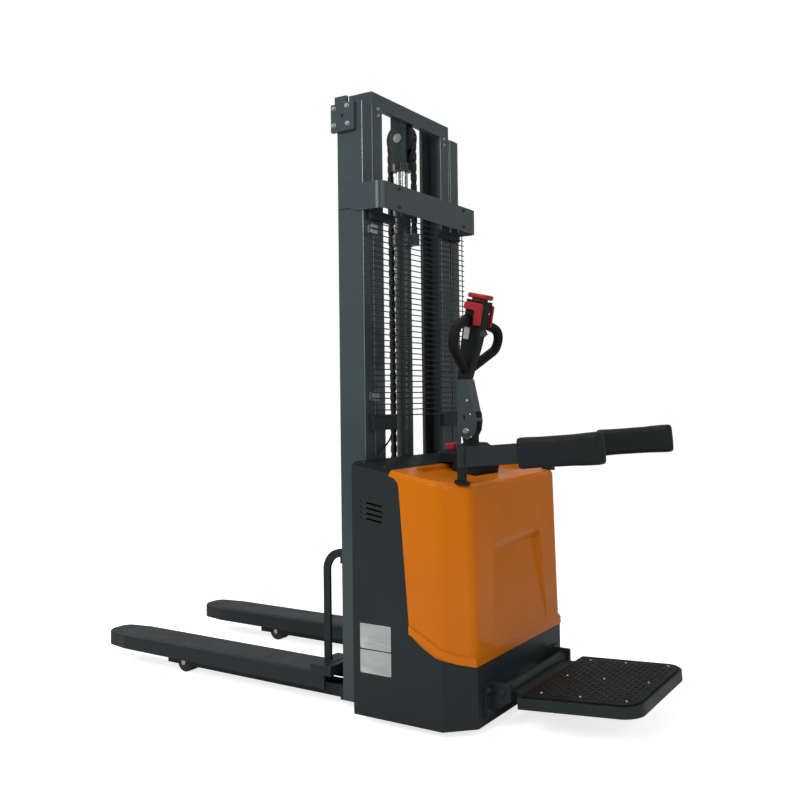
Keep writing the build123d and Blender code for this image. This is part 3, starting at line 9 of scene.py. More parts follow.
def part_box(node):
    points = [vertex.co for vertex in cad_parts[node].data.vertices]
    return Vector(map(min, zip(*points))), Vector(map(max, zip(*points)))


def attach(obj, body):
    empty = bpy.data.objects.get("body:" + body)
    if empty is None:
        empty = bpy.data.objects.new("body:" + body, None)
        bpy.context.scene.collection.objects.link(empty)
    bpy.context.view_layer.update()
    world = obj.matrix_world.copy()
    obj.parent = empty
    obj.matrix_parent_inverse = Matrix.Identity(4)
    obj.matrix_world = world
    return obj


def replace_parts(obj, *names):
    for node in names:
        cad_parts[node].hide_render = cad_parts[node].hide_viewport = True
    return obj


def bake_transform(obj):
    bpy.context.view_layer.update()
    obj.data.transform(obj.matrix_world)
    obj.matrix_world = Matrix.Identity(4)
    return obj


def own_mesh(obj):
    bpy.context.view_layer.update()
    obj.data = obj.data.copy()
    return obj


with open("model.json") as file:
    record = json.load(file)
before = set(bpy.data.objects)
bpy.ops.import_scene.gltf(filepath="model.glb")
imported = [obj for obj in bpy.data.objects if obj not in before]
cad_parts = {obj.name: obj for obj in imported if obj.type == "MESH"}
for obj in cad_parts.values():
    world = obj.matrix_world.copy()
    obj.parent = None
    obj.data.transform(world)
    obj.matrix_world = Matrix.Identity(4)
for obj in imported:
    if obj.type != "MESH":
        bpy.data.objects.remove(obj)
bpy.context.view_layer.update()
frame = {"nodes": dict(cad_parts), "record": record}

nodes = frame["nodes"]
slot_of = {row["node"]: row["material_slot"] for row in frame["record"]["subparts"]}

# Colours are linear values. Sizes are in metres, in the row's frame.
CHARCOAL = (0.0155, 0.0215, 0.0225)
MAST_GREY = (0.038, 0.056, 0.060)
ORANGE = (0.56, 0.145, 0.002)
RED = (0.30, 0.010, 0.012)
BLACK = (0.0062, 0.0075, 0.008)
TREAD_BLACK = (0.0075, 0.0075, 0.007)
PAD_BLACK = (0.0075, 0.0095, 0.0105)
GREY = (0.05, 0.052, 0.055)
POLYMER = (0.03, 0.027, 0.024)
STEEL = (0.42, 0.44, 0.44)
# bright steel for the painted highlight lines along the sections' rounded edges
EDGE_HIGHLIGHT_STEEL = (0.20, 0.22, 0.23)
PLATE_STEEL = (0.50, 0.51, 0.51)
CHROME = (0.62, 0.63, 0.64)
CHAIN_STEEL = (0.045, 0.045, 0.044)


# Materials

NOISE_MIDDLE = (0.3, 0.7)       # where most of a noise value lies
EDGE_COSINES = (0.995, 0.90)    # turn of the rounded normal on a flat face and on a hard edge


def new_material(name):
    """A material with its node tree and its shader."""
    made = bpy.data.materials.new(name)
    made.use_nodes = True
    return made, made.node_tree, made.node_tree.nodes["Principled BSDF"]


def noise(tree, scale, detail, stretch=(1.0, 1.0, 1.0)):
    """Noise in the row's frame, scale being waves per metre."""
    coords = tree.nodes.new("ShaderNodeTexCoord")
    mapping = tree.nodes.new("ShaderNodeMapping")
    mapping.inputs["Scale"].default_value = stretch
    texture = tree.nodes.new("ShaderNodeTexNoise")
    texture.inputs["Scale"].default_value = scale
    texture.inputs["Detail"].default_value = detail
    tree.links.new(coords.outputs["Object"], mapping.inputs["Vector"])
    tree.links.new(mapping.outputs["Vector"], texture.inputs["Vector"])
    return texture.outputs["Fac"]


def ranged(tree, value, given, wanted=(0.0, 1.0)):
    """Maps a value from one range to another and holds it at the ends."""
    node = tree.nodes.new("ShaderNodeMapRange")
    node.inputs["From Min"].default_value, node.inputs["From Max"].default_value = given
    node.inputs["To Min"].default_value, node.inputs["To Max"].default_value = wanted
    tree.links.new(value, node.inputs["Value"])
    return node.outputs["Result"]


def calculated(tree, operation, first, second):
    """Joins two values by an operation; the second may be a plain number."""
    node = tree.nodes.new("ShaderNodeMath")
    node.operation = operation
    tree.links.new(first, node.inputs[0])
    if isinstance(second, float):
        node.inputs[1].default_value = second
    else:
        tree.links.new(second, node.inputs[1])
    return node.outputs["Value"]


def mix_colours(tree, factor, first, second):
    """Blend of two colours; either may be a socket."""
    node = tree.nodes.new("ShaderNodeMix")
    node.data_type = "RGBA"
    for socket, colour in ((node.inputs["A"], first), (node.inputs["B"], second)):
        if isinstance(colour, tuple):
            socket.default_value = (*colour, 1.0)
        else:
            tree.links.new(colour, socket)
    tree.links.new(factor, node.inputs["Factor"])
    return node.outputs["Result"]


def tint(colour, factor):
    """The colour made lighter or darker."""
    return tuple(min(1.0, part * factor) for part in colour)


def drift(tree, colour, pattern, dark, light):
    """The colour going from darker to lighter with a pattern."""
    return mix_colours(tree, pattern, tint(colour, dark), tint(colour, light))


def vary_roughness(tree, shader, pattern, low, high):
    """Lets the shader's roughness follow a noise pattern."""
    tree.links.new(ranged(tree, pattern, NOISE_MIDDLE, (low, high)), shader.inputs["Roughness"])


def edge_mask(tree, radius):
    """1 along the model's hard edges and 0 on flat faces, with the rounded normal."""
    bevel = tree.nodes.new("ShaderNodeBevel")
    bevel.samples = 4
    bevel.inputs["Radius"].default_value = radius
    geometry = tree.nodes.new("ShaderNodeNewGeometry")
    dot = tree.nodes.new("ShaderNodeVectorMath")
    dot.operation = "DOT_PRODUCT"
    tree.links.new(bevel.outputs["Normal"], dot.inputs[0])
    tree.links.new(geometry.outputs["Normal"], dot.inputs[1])
    return ranged(tree, dot.outputs["Value"], EDGE_COSINES), bevel.outputs["Normal"]


def surface(tree, shader, height, strength, depth, normal=None):
    """Bumps the shader's normal by a height value."""
    bump = tree.nodes.new("ShaderNodeBump")
    bump.inputs["Strength"].default_value = strength
    bump.inputs["Distance"].default_value = depth
    tree.links.new(height, bump.inputs["Height"])
    if normal is not None:
        tree.links.new(normal, bump.inputs["Normal"])
    tree.links.new(bump.outputs["Normal"], shader.inputs["Normal"])


def paint(name, colour, roughness, gloss, coat, edge_wear_and_highlight, bevel=0.0025, grain=900.0, peel=0.05):
    """Sprayed paint: faint colour drift, fine orange peel and lighter edges, partly worn paint and
    partly a painted highlight where rounded edges catch light.
    """
    made, tree, shader = new_material(name)
    sprayed = drift(tree, colour, noise(tree, scale=5.0, detail=4.0), dark=0.88, light=1.12)
    # Hard edges are lightened: partly paint worn off, partly a painted highlight for the light that
    # rounded edges catch.
    edges, rounded = edge_mask(tree, bevel)
    patches = ranged(tree, noise(tree, scale=30.0, detail=6.0), NOISE_MIDDLE, (0.1, edge_wear_and_highlight))
    edge_wear_and_highlight_mask = calculated(tree, "MULTIPLY", edges, patches)
    worn_and_highlit_colour = mix_colours(tree, edge_wear_and_highlight_mask, sprayed, tint(colour, 2.6))
    tree.links.new(worn_and_highlit_colour, shader.inputs["Base Color"])
    smears = noise(tree, scale=14.0, detail=5.0)
    vary_roughness(tree, shader, smears, roughness - 0.05, roughness + 0.07)
    shader.inputs["Specular IOR Level"].default_value = gloss
    shader.inputs["Coat Weight"].default_value = coat
    shader.inputs["Coat Roughness"].default_value = 0.06
    surface(tree, shader, noise(tree, grain, detail=2.0), peel, depth=0.0006, normal=rounded)
    return made


def moulded(name, colour, roughness, gloss, grain, depth):
    """Moulded plastic or rubber with a fine grain."""
    made, tree, shader = new_material(name)
    mottled = drift(tree, colour, noise(tree, scale=9.0, detail=4.0), dark=0.8, light=1.25)
    tree.links.new(mottled, shader.inputs["Base Color"])
    smears = noise(tree, scale=22.0, detail=4.0)
    vary_roughness(tree, shader, smears, roughness - 0.06, roughness + 0.08)
    shader.inputs["Specular IOR Level"].default_value = gloss
    rounded = edge_mask(tree, radius=0.002)[1]
    surface(tree, shader, noise(tree, grain, detail=3.0), 0.35, depth, rounded)
    return made


def metal(name, colour, roughness, stretch):
    """Bare metal with brushing along one way."""
    made, tree, shader = new_material(name)
    brushed = noise(tree, scale=160.0, detail=4.0, stretch=stretch)
    streaked = drift(tree, colour, brushed, dark=0.78, light=1.15)
    tree.links.new(streaked, shader.inputs["Base Color"])
    vary_roughness(tree, shader, brushed, roughness - 0.06, roughness + 0.08)
    shader.inputs["Metallic"].default_value = 1.0
    rounded = edge_mask(tree, radius=0.001)[1]
    surface(tree, shader, brushed, strength=0.12, depth=0.0002, normal=rounded)
    return made


def leatherette(name, colour):
    """Coated cloth over foam with a pebbled grain."""
    made, tree, shader = new_material(name)
    mottled = drift(tree, colour, noise(tree, scale=16.0, detail=4.0), dark=0.8, light=1.3)
    tree.links.new(mottled, shader.inputs["Base Color"])
    vary_roughness(tree, shader, noise(tree, scale=40.0, detail=3.0), 0.44, 0.58)
    shader.inputs["Specular IOR Level"].default_value = 0.15
    coords = tree.nodes.new("ShaderNodeTexCoord")
    cells = tree.nodes.new("ShaderNodeTexVoronoi")
    cells.feature = "SMOOTH_F1"
    cells.inputs["Scale"].default_value = 650.0
    tree.links.new(coords.outputs["Object"], cells.inputs["Vector"])
    surface(tree, shader, cells.outputs["Distance"], strength=0.3, depth=0.0005)
    return made


looks = {
    # roughness, gloss, coat, edge wear with painted edge highlight, and where they differ the edge
    # radius, grain and peel
    "orange_paint": paint("orange_paint", ORANGE, 0.32, 0.05, 0.18, 0.06, 0.004, 500.0, 0.02),
    "charcoal_paint": paint("charcoal_paint", CHARCOAL, 0.44, 0.16, 0.0, 0.7),
    "mast_paint": paint("mast_paint", MAST_GREY, 0.40, 0.12, 0.45, 0.9, 0.003),
    # roughness, gloss, grain and its depth
    "black_plastic": moulded("black_plastic", BLACK, 0.5, 0.16, 1400.0, 0.0003),
    "black_rubber": moulded("black_rubber", BLACK, 0.6, 0.12, 1100.0, 0.0004),
    "tread_rubber": moulded("tread_rubber", TREAD_BLACK, 0.42, 0.16, 900.0, 0.0003),
    "red_plastic": moulded("red_plastic", RED, 0.34, 0.3, 1500.0, 0.0001),
    "grey_plastic": moulded("grey_plastic", GREY, 0.5, 0.25, 1200.0, 0.0003),
    "wheel_polymer": moulded("wheel_polymer", POLYMER, 0.45, 0.3, 700.0, 0.0003),
    # roughness and the stretch of the brushing
    # painted highlight lines on the sections' rounded edges
    "edge_highlight_steel": metal("edge_highlight_steel", EDGE_HIGHLIGHT_STEEL, 0.36, (1.0, 1.0, 0.05)),
    "bare_steel": metal("bare_steel", STEEL, 0.34, (1.0, 1.0, 0.08)),
    "plate_metal": metal("plate_metal", PLATE_STEEL, 0.46, (0.1, 0.1, 1.0)),
    "chrome_rod": metal("chrome_rod", CHROME, 0.12, (6.0, 6.0, 0.4)),
    "chain_steel": metal("chain_steel", CHAIN_STEEL, 0.42, (1.0, 1.0, 1.0)),
    "arm_padding": leatherette("arm_padding", PAD_BLACK),
}
# Nodes in the mast's lighter grey; every other node wears its slot's look.
mast_nodes = (
    "outer_mast_left", "outer_mast_right", "mast_band", "mast_guide_blocks", "inner_mast_left",
    "inner_mast_right", "inner_mast_beams", "chain_yoke", "cylinder_barrel", "tiller_arm",
)
for node_name, node in nodes.items():
    look = "mast_paint" if node_name in mast_nodes else slot_of[node_name]
    node.data.materials.clear()
    node.data.materials.append(looks[look])


# Shapes

REAR_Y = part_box("chassis_frame")[0][1]
STEEP = 0.9     # upward share of a bar's direction above which it counts as upright


def at(reach):
    """Y of a point at this reach forward of the chassis rear face."""
    return REAR_Y + reach


def facing(place, normal, across):
    """Frame at place with its Z along normal and its X along across."""
    z = Vector(normal).normalized()
    y = z.cross(Vector(across)).normalized()
    return Matrix.Translation(place) @ Matrix((y.cross(z), y, z)).transposed().to_4x4()


def circle(radius, height, sides):
    """Points round a circle, or its middle alone where the radius is 0."""
    angles = [math.tau * i / sides for i in range(sides)] if radius else [0.0]
    return [(radius * math.cos(a), radius * math.sin(a), height) for a in angles]


def ring(form, matrix, points):
    """New corners of a form at points of a frame."""
    return [form.verts.new(matrix @ Vector(point)) for point in points]


def ring_faces(form, low, high):
    """Joins two rings of corners; either may be a single point."""
    count = max(len(low), len(high))
    for i in range(count):
        j = (i + 1) % count
        if len(high) == 1:
            form.faces.new((low[i], low[j], high[0]))
        elif len(low) == 1:
            form.faces.new((low[0], high[j], high[i]))
        else:
            form.faces.new((low[i], low[j], high[j], high[i]))


def skin(form, rings, capped):
    """Joins each ring to the next, and closes both ends if capped."""
    for low, high in zip(rings, rings[1:]):
        ring_faces(form, low, high)
    if capped:
        form.faces.new(list(reversed(rings[0])))
        form.faces.new(rings[-1])


def turned(form, matrix, profile, sides):
    """Turned shape: profile gives pairs of radius and height from foot to top."""
    rings = [ring(form, matrix, circle(radius, height, sides)) for radius, height in profile]
    skin(form, rings, capped=False)


def slab(form, matrix, outline, levels):
    """Flat shape: levels gives pairs of outline scale and height from foot to top."""
    rings = []
    for scale, height in levels:
        rings.append(ring(form, matrix, [(x * scale, y * scale, height) for x, y in outline]))
    skin(form, rings, capped=True)


def rounded_outline(wide, tall, radius, steps=4):
    """Corners of a rounded rectangle."""
    corners = []
    for sx, sy, start in ((1, 1, 0.0), (-1, 1, 90.0), (-1, -1, 180.0), (1, -1, 270.0)):
        middle_x, middle_y = sx * (wide / 2 - radius), sy * (tall / 2 - radius)
        for i in range(steps + 1):
            angle = math.radians(start + 90.0 * i / steps)
            corners.append((middle_x + radius * math.cos(angle), middle_y + radius * math.sin(angle)))
    return corners


def tube(form, points, radius, sides=8):
    """Round bar through points, closed at both ends; radius may be a function of the index."""
    rings = []
    for i, point in enumerate(points):
        ahead = points[min(i + 1, len(points) - 1)]
        behind = points[max(i - 1, 0)]
        way = (Vector(ahead) - Vector(behind)).normalized()
        side = way.orthogonal() if abs(way.z) > STEEP else way.cross(Vector((0.0, 0.0, 1.0)))
        size = radius(i) if callable(radius) else radius
        rings.append(ring(form, facing(point, way, side), circle(size, 0.0, sides)))
    skin(form, rings, capped=True)


# Profiles of fasteners: pairs of radius and height, as shares of the width
WASHER = ((0.66, 0.0), (0.66, 0.1), (0.62, 0.13), (0.3, 0.13))
HEXAGON = ((0.577, 0.13), (0.577, 0.5), (0.5, 0.56), (0.0, 0.56))
SOCKET_HEAD = (
    (0.5, 0.0), (0.5, 0.12), (0.45, 0.25), (0.31, 0.36), (0.23, 0.37), (0.21, 0.16), (0.0, 0.16),
)
RIVET_HEAD = ((0.5, 0.0), (0.42, 0.16), (0.22, 0.26), (0.0, 0.29))
PLUG = ((0.5, 0.0), (0.47, 0.06), (0.36, 0.06), (0.34, 0.01), (0.0, 0.01))


def fastener(form, matrix, profile, wide, sides):
    """Turned fastener from a profile in shares of its width."""
    turned(form, matrix, [(wide * radius, wide * height) for radius, height in profile], sides)


def hex_bolt(form, matrix, across):
    """Hexagon head on a washer."""
    fastener(form, matrix, WASHER, across, 20)
    fastener(form, matrix, HEXAGON, across, 6)


def socket_screw(form, matrix, wide):
    """Domed head with a socket."""
    fastener(form, matrix, SOCKET_HEAD, wide, 14)


def rivet(form, matrix, wide):
    """Low domed rivet head."""
    fastener(form, matrix, RIVET_HEAD, wide, 10)


def plug(form, matrix, wide):
    """Flat ring with a sunk middle, for a plugged hole."""
    fastener(form, matrix, PLUG, wide, 16)


def make(name, form, body, slot, look=None, sharp=35.0):
    """Turns a form into a piece that rides on a body, with edges hard above sharp degrees."""
    bmesh.ops.recalc_face_normals(form, faces=form.faces)
    mesh = bpy.data.meshes.new(name)
    form.to_mesh(mesh)
    form.free()
    for polygon in mesh.polygons:
        polygon.use_smooth = True
    mesh.set_sharp_from_angle(angle=math.radians(sharp))
    mesh.materials.append(looks[look or slot])
    piece = bpy.data.objects.new(name, mesh)
    bpy.context.scene.collection.objects.link(piece)
    if body:
        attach(piece, body)
    return piece


def scatter(name, body, maker, frames, size, slot="bare_steel", look=None):
    """One piece holding equal fasteners at several frames."""
    form = bmesh.new()
    for matrix in frames:
        maker(form, matrix, size)
    return make(name, form, body, slot, look)


surfaces = {}


def onto(node, start, way, across):
    """Frame on a node's surface, where a ray from start along way meets it."""
    if node not in surfaces:
        mesh = nodes[node].data
        faces = [polygon.vertices[:] for polygon in mesh.polygons]
        surfaces[node] = BVHTree.FromPolygons([vertex.co for vertex in mesh.vertices], faces)
    place, normal, _, _ = surfaces[node].ray_cast(Vector(start), Vector(way))
    return facing(place, normal, across)


# Camera and cable

CAMERA_PLACE = (-2.84473, -1.96537, 1.04969)
CAMERA_YAW = 0.9957     # radians, from +Y towards +X
CAMERA_PITCH = 0.0171
CAMERA_ROLL = -0.0119
CAMERA_SENSOR = 36.0    # millimetres
CAMERA_LENS = 41.505
CAMERA_SHIFT = (0.0034, -0.0236)


def photograph_camera():
    """Camera with the photograph's place, angle and framing."""
    data = bpy.data.cameras.new("photograph")
    data.sensor_width = CAMERA_SENSOR
    data.lens = CAMERA_LENS
    data.shift_x, data.shift_y = CAMERA_SHIFT
    forward = Vector((
        math.sin(CAMERA_YAW) * math.cos(CAMERA_PITCH),
        math.cos(CAMERA_YAW) * math.cos(CAMERA_PITCH),
        math.sin(CAMERA_PITCH),
    ))
    right = Vector((math.cos(CAMERA_YAW), -math.sin(CAMERA_YAW), 0.0))
    up = right.cross(forward)
    rolled_right = right * math.cos(CAMERA_ROLL) + up * math.sin(CAMERA_ROLL)
    rolled_up = up * math.cos(CAMERA_ROLL) - right * math.sin(CAMERA_ROLL)
    camera = bpy.data.objects.new("photograph", data)
    turn = Matrix((rolled_right, rolled_up, -forward)).transposed().to_4x4()
    camera.matrix_world = Matrix.Translation(CAMERA_PLACE) @ turn
    bpy.context.scene.collection.objects.link(camera)
    bpy.context.scene.camera = camera


CABLE_RADIUS = 0.003
CABLE_ROUTE = (
    (-0.184, at(0.395), 0.938),
    (-0.184, at(0.395), 0.914),
    (-0.237, at(0.389), 0.881),
    (-0.302, at(0.383), 0.860),
    (-0.302, at(0.383), 0.826),
)


def switch_cable():
    """Cable from the mesh guard's bracket down into the deck."""
    data = bpy.data.curves.new("switch_lead", "CURVE")
    data.dimensions = "3D"
    data.bevel_depth = CABLE_RADIUS
    data.bevel_resolution = 5
    spline = data.splines.new("NURBS")
    spline.points.add(len(CABLE_ROUTE) - 1)
    for point, place in zip(spline.points, CABLE_ROUTE):
        point.co = (*place, 1.0)
    spline.order_u = 3
    spline.use_endpoint_u = True
    spline.resolution_u = 16
    data.materials.append(looks["black_rubber"])
    lead = bpy.data.objects.new("switch_lead", data)
    bpy.context.scene.collection.objects.link(lead)
    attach(lead, "chassis")
    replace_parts(lead, "switch_cable")


photograph_camera()
switch_cable()


# Padded arms

PAD_LENGTH, PAD_HEIGHT, PAD_THICK = 0.268, 0.096, 0.045
PAD_ROUND = 0.011
PAD_RISE = math.radians(4.7)
PAD_VOXEL = 0.005
PAD_SWELL = 0.0025
FOAM_PRESSURE = 4.0
FOAM_STEPS = 20


def evaluated(piece):
    """Mesh of a piece with its modifiers applied."""
    graph = bpy.context.evaluated_depsgraph_get()
    return bpy.data.meshes.new_from_object(piece.evaluated_get(graph), depsgraph=graph)


def swollen(piece):
    """Blows the foam up by cloth pressure, each point moving no further than PAD_SWELL."""
    start = [vertex.co.copy() for vertex in piece.data.vertices]
    cloth = piece.modifiers.new("foam", "CLOTH")
    cloth.settings.use_pressure = True
    cloth.settings.uniform_pressure_force = FOAM_PRESSURE
    cloth.settings.effector_weights.gravity = 0.0
    for step in range(1, FOAM_STEPS + 1):
        bpy.context.scene.frame_set(step)
    grown = evaluated(piece)
    piece.modifiers.remove(cloth)
    bpy.context.scene.frame_set(1)
    for vertex, first, last in zip(piece.data.vertices, start, grown.vertices):
        move = last.co - first
        vertex.co = first + (move.normalized() * PAD_SWELL if move.length > PAD_SWELL else move)
    bpy.data.meshes.remove(grown)


def pad_mesh():
    """Foam pad about its own middle: X along the bar, Y up, Z across."""
    form = bmesh.new()
    size = Matrix.Diagonal((PAD_LENGTH, PAD_HEIGHT, PAD_THICK, 1.0))
    bmesh.ops.create_cube(form, size=1.0, matrix=size)
    bmesh.ops.bevel(
        form, geom=form.edges[:], offset=PAD_ROUND, segments=4, profile=0.5, affect="EDGES"
    )
    mesh = bpy.data.meshes.new("arm_pad_foam")
    form.to_mesh(mesh)
    form.free()
    piece = bpy.data.objects.new("arm_pad_foam", mesh)
    bpy.context.scene.collection.objects.link(piece)
    voxels = piece.modifiers.new("voxels", "REMESH")
    voxels.mode = "VOXEL"
    voxels.voxel_size = PAD_VOXEL
    piece.data = evaluated(piece)
    piece.modifiers.remove(voxels)
    swollen(piece)
    smooth = piece.modifiers.new("smooth", "SUBSURF")
    smooth.levels = 1
    mesh = evaluated(piece)
    bpy.data.objects.remove(piece)
    return mesh


foam = pad_mesh()
along = Vector((0.0, -math.cos(PAD_RISE), math.sin(PAD_RISE)))
for side, name in ((-1, "left"), (1, "right")):
    node_name = "arm_pad_" + name
    low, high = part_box(node_name)
    middle = (Vector(low) + Vector(high)) / 2
    form = bmesh.new()
    form.from_mesh(foam)
    form.transform(facing(middle, (side, 0.0, 0.0), along))
    pad = make("pad_" + name, form, "guard_" + name, "arm_padding", sharp=80.0)
    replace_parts(pad, node_name)


# Mesh guard: level wires behind upright ones

WIRE_RADIUS = 0.002
WIRE_OFFSET = 0.0016    # of each layer from the guard's middle, so that the layers touch
LEVEL_COUNT, LEVEL_PITCH, LEVEL_FOOT = 36, 0.0197, 0.986
LEVEL_END = 0.324
UPRIGHT_PLACES = (-0.316, -0.133, 0.133, 0.316)
UPRIGHT_FOOT, UPRIGHT_TOP = 0.984, 1.677

low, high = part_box("mesh_guard")
mesh_y = (low[1] + high[1]) / 2
form = bmesh.new()
for row in range(LEVEL_COUNT):
    y, z = mesh_y - WIRE_OFFSET, LEVEL_FOOT + LEVEL_PITCH * row
    tube(form, [(-LEVEL_END, y, z), (LEVEL_END, y, z)], WIRE_RADIUS)
for x in UPRIGHT_PLACES:
    y = mesh_y + WIRE_OFFSET
    tube(form, [(x, y, UPRIGHT_FOOT), (x, y, UPRIGHT_TOP)], WIRE_RADIUS)
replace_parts(make("mesh_wires", form, "chassis", "charcoal_paint"), "mesh_guard")


# Lift chain

CHAIN_PITCH = 0.01905
CHAIN_RADIUS = 0.050    # of the pins' path round the sheave
SHEAVE = Vector((0.0, at(0.4585), 1.993))
WRAP_LINKS = 8
LINK_MORE = 0.0132      # length of a plate beyond its two pins
LINK_HEIGHT, LINK_ROUND, LINK_THICK = 0.0140, 0.0069, 0.0032
LINK_LEVELS = ((0.96, 0.0), (1.0, 0.0004), (1.0, 0.0028), (0.96, LINK_THICK))
EVEN_PLATES = (-0.0055, 0.0055)
ODD_PLATES = (-0.0092, -0.0018, 0.0018, 0.0092)
PIN_REACH = Vector((0.0110, 0.0, 0.0))
PIN_RADIUS = 0.0042


def chain(form, points):
    """Leaf chain whose pins stand at points."""
    for i, (first, last) in enumerate(zip(points, points[1:])):
        way = last - first
        middle = (first + last) / 2
        outline = rounded_outline(way.length + LINK_MORE, LINK_HEIGHT, LINK_ROUND, 5)
        for offset in ODD_PLATES if i % 2 else EVEN_PLATES:
            foot = middle + Vector((offset - LINK_THICK / 2, 0.0, 0.0))
            slab(form, facing(foot, (1.0, 0.0, 0.0), way), outline, LINK_LEVELS)
    for point in points:
        tube(form, [point - PIN_REACH, point + PIN_REACH], PIN_RADIUS)


def straight(top, bottom):
    """Pin places from top to bottom, about a pitch apart."""
    count = round((top - bottom).length / CHAIN_PITCH)
    return [top.lerp(bottom, i / count) for i in range(count + 1)]


def over_sheave():
    """Pin places over the top of the sheave, from front to rear."""
    angles = [math.pi * i / WRAP_LINKS for i in range(WRAP_LINKS + 1)]
    return [SHEAVE + CHAIN_RADIUS * Vector((0.0, math.cos(a), math.sin(a))) for a in angles]


ahead = Vector((0.0, CHAIN_RADIUS, 0.0))
form = bmesh.new()
chain(form, straight(SHEAVE + ahead, Vector((0.0, SHEAVE.y + CHAIN_RADIUS, 0.506))))
front_run = make("chain_front_run", form, "inner_mast", "chain_steel")
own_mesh(front_run)
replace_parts(front_run, "front_chain")
form = bmesh.new()
chain(form, over_sheave())
make("chain_wrap", form, "inner_mast", "chain_steel")
form = bmesh.new()
chain(form, straight(SHEAVE - ahead, Vector((0.0, SHEAVE.y - CHAIN_RADIUS, 1.646))))
rear_run = make("chain_rear_run", form, None, "chain_steel")
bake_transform(rear_run)
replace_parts(rear_run, "rear_chain")


# Platform mat. Its own frame has Y from the hinge towards the free end and Z out of the mat.

MAT_TILT = math.radians(4.0)
MAT_HALF, MAT_TAPER = 0.253, 0.016      # half width at the near end, and its loss by the far end
MAT_NEAR, MAT_LENGTH = 0.069, 0.357
MAT_BORDER = 0.024
MARK_PITCH = 0.019
MARK_NEAR, MARK_FAR = 0.092, 0.404
CORNER_SIDE, CORNER_FAR, CORNER_RADIUS = 0.04, 0.362, 0.042
SCREW_CLEAR = 0.018
MAT_SCREWS = [(x, y) for x in (-0.205, 0.0, 0.205) for y in (0.117, 0.243, 0.388)]
LOZENGE = (
    (0.0118, 0.0), (0.0074, 0.0040), (0.0, 0.0051), (-0.0074, 0.0040),
    (-0.0118, 0.0), (-0.0074, -0.0040), (0.0, -0.0051), (0.0074, -0.0040),
)
LOZENGE_LEVELS = ((1.0, -0.0004), (0.88, 0.0014), (0.5, 0.0024))
mat_plane = Matrix.Translation((0.0, at(-0.043), 0.122)) @ Matrix((
    (-1.0, 0.0, 0.0),
    (0.0, -math.cos(MAT_TILT), math.sin(MAT_TILT)),
    (0.0, math.sin(MAT_TILT), math.cos(MAT_TILT)),
)).to_4x4()


def on_mat(x, y):
    """Whether a raised mark fits here, inside the mat's plain border and clear of its screws."""
    half = MAT_HALF - MAT_TAPER * (y - MAT_NEAR) / MAT_LENGTH - MAT_BORDER
    corner = max(0.0, abs(x) - (half - CORNER_SIDE)) ** 2 + max(0.0, y - CORNER_FAR) ** 2
    clear = all((x - sx) ** 2 + (y - sy) ** 2 > SCREW_CLEAR ** 2 for sx, sy in MAT_SCREWS)
    inside = abs(x) < half and MARK_NEAR < y < MARK_FAR and corner < CORNER_RADIUS ** 2
    return inside and clear


form = bmesh.new()
for i in range(-14, 15):
    for j in range(4, 22):
        x, y = i * MARK_PITCH, j * MARK_PITCH
        if on_mat(x, y):
            turn = Matrix.Rotation(math.radians(45.0 if (i + j) % 2 else -45.0), 4, "Z")
            matrix = mat_plane @ Matrix.Translation((x, y, 0.0)) @ turn
            slab(form, matrix, LOZENGE, LOZENGE_LEVELS)
make("mat_tread", form, "platform", "black_rubber", "tread_rubber")
scatter(
    "mat_screws", "platform", socket_screw,
    [mat_plane @ Matrix.Translation((x, y, -0.0002)) for x, y in MAT_SCREWS], 0.009,
)


# Fasteners

AWAY = 0.6      # how far out the rays start that look for a face
ABOVE = 1.2     # height from which they look for the deck and the console
left, right = Vector((-1.0, 0.0, 0.0)), Vector((1.0, 0.0, 0.0))
forward, down = Vector((0.0, 1.0, 0.0)), Vector((0.0, 0.0, -1.0))


def both_sides(node, places):
    """Frames on a node's two outer sides at pairs of reach and height."""
    return [
        onto(node, (AWAY * side, at(reach), height), (-side, 0.0, 0.0), forward)
        for side in (-1, 1)
        for reach, height in places
    ]


def from_rear(node, places):
    """Frames on a node's rear face at pairs of x and height, on both sides."""
    return [
        onto(node, (side * x, at(-AWAY), height), forward, right)
        for side in (-1, 1)
        for x, height in places
    ]


GUIDE_BOLTS = ((0.459, 2.032), (0.513, 2.030), (0.514, 1.972), (0.457, 1.972))
scatter("guide_bolts", "chassis", hex_bolt, both_sides("mast_guide_blocks", GUIDE_BOLTS), 0.013)
scatter(
    "guide_plugs", "chassis", plug, both_sides("mast_guide_blocks", ((0.480, 2.001),)), 0.013,
    look="black_plastic",
)
scatter(
    "band_screws", "chassis", socket_screw,
    from_rear("mast_band", ((0.225, 1.754), (0.225, 1.692))), 0.012, look="chain_steel",
)
scatter(
    "flange_bolts", "inner_mast", hex_bolt,
    [onto("inner_mast_" + name, (side * 0.226, at(0.3), height), forward, right)
     for side, name in ((-1, "left"), (1, "right")) for height in (2.040, 2.018)],
    0.010,
)
scatter("pivot_bolts", "tiller", hex_bolt, both_sides("tiller_arm", ((0.190, 0.928),)), 0.017)
scatter("arm_screws", "tiller", socket_screw, both_sides("tiller_arm", ((0.187, 1.034),)), 0.011)
scatter(
    "arm_rivets", "tiller", rivet,
    both_sides("tiller_arm", ((0.176, 0.986), (0.174, 0.907))), 0.007,
)
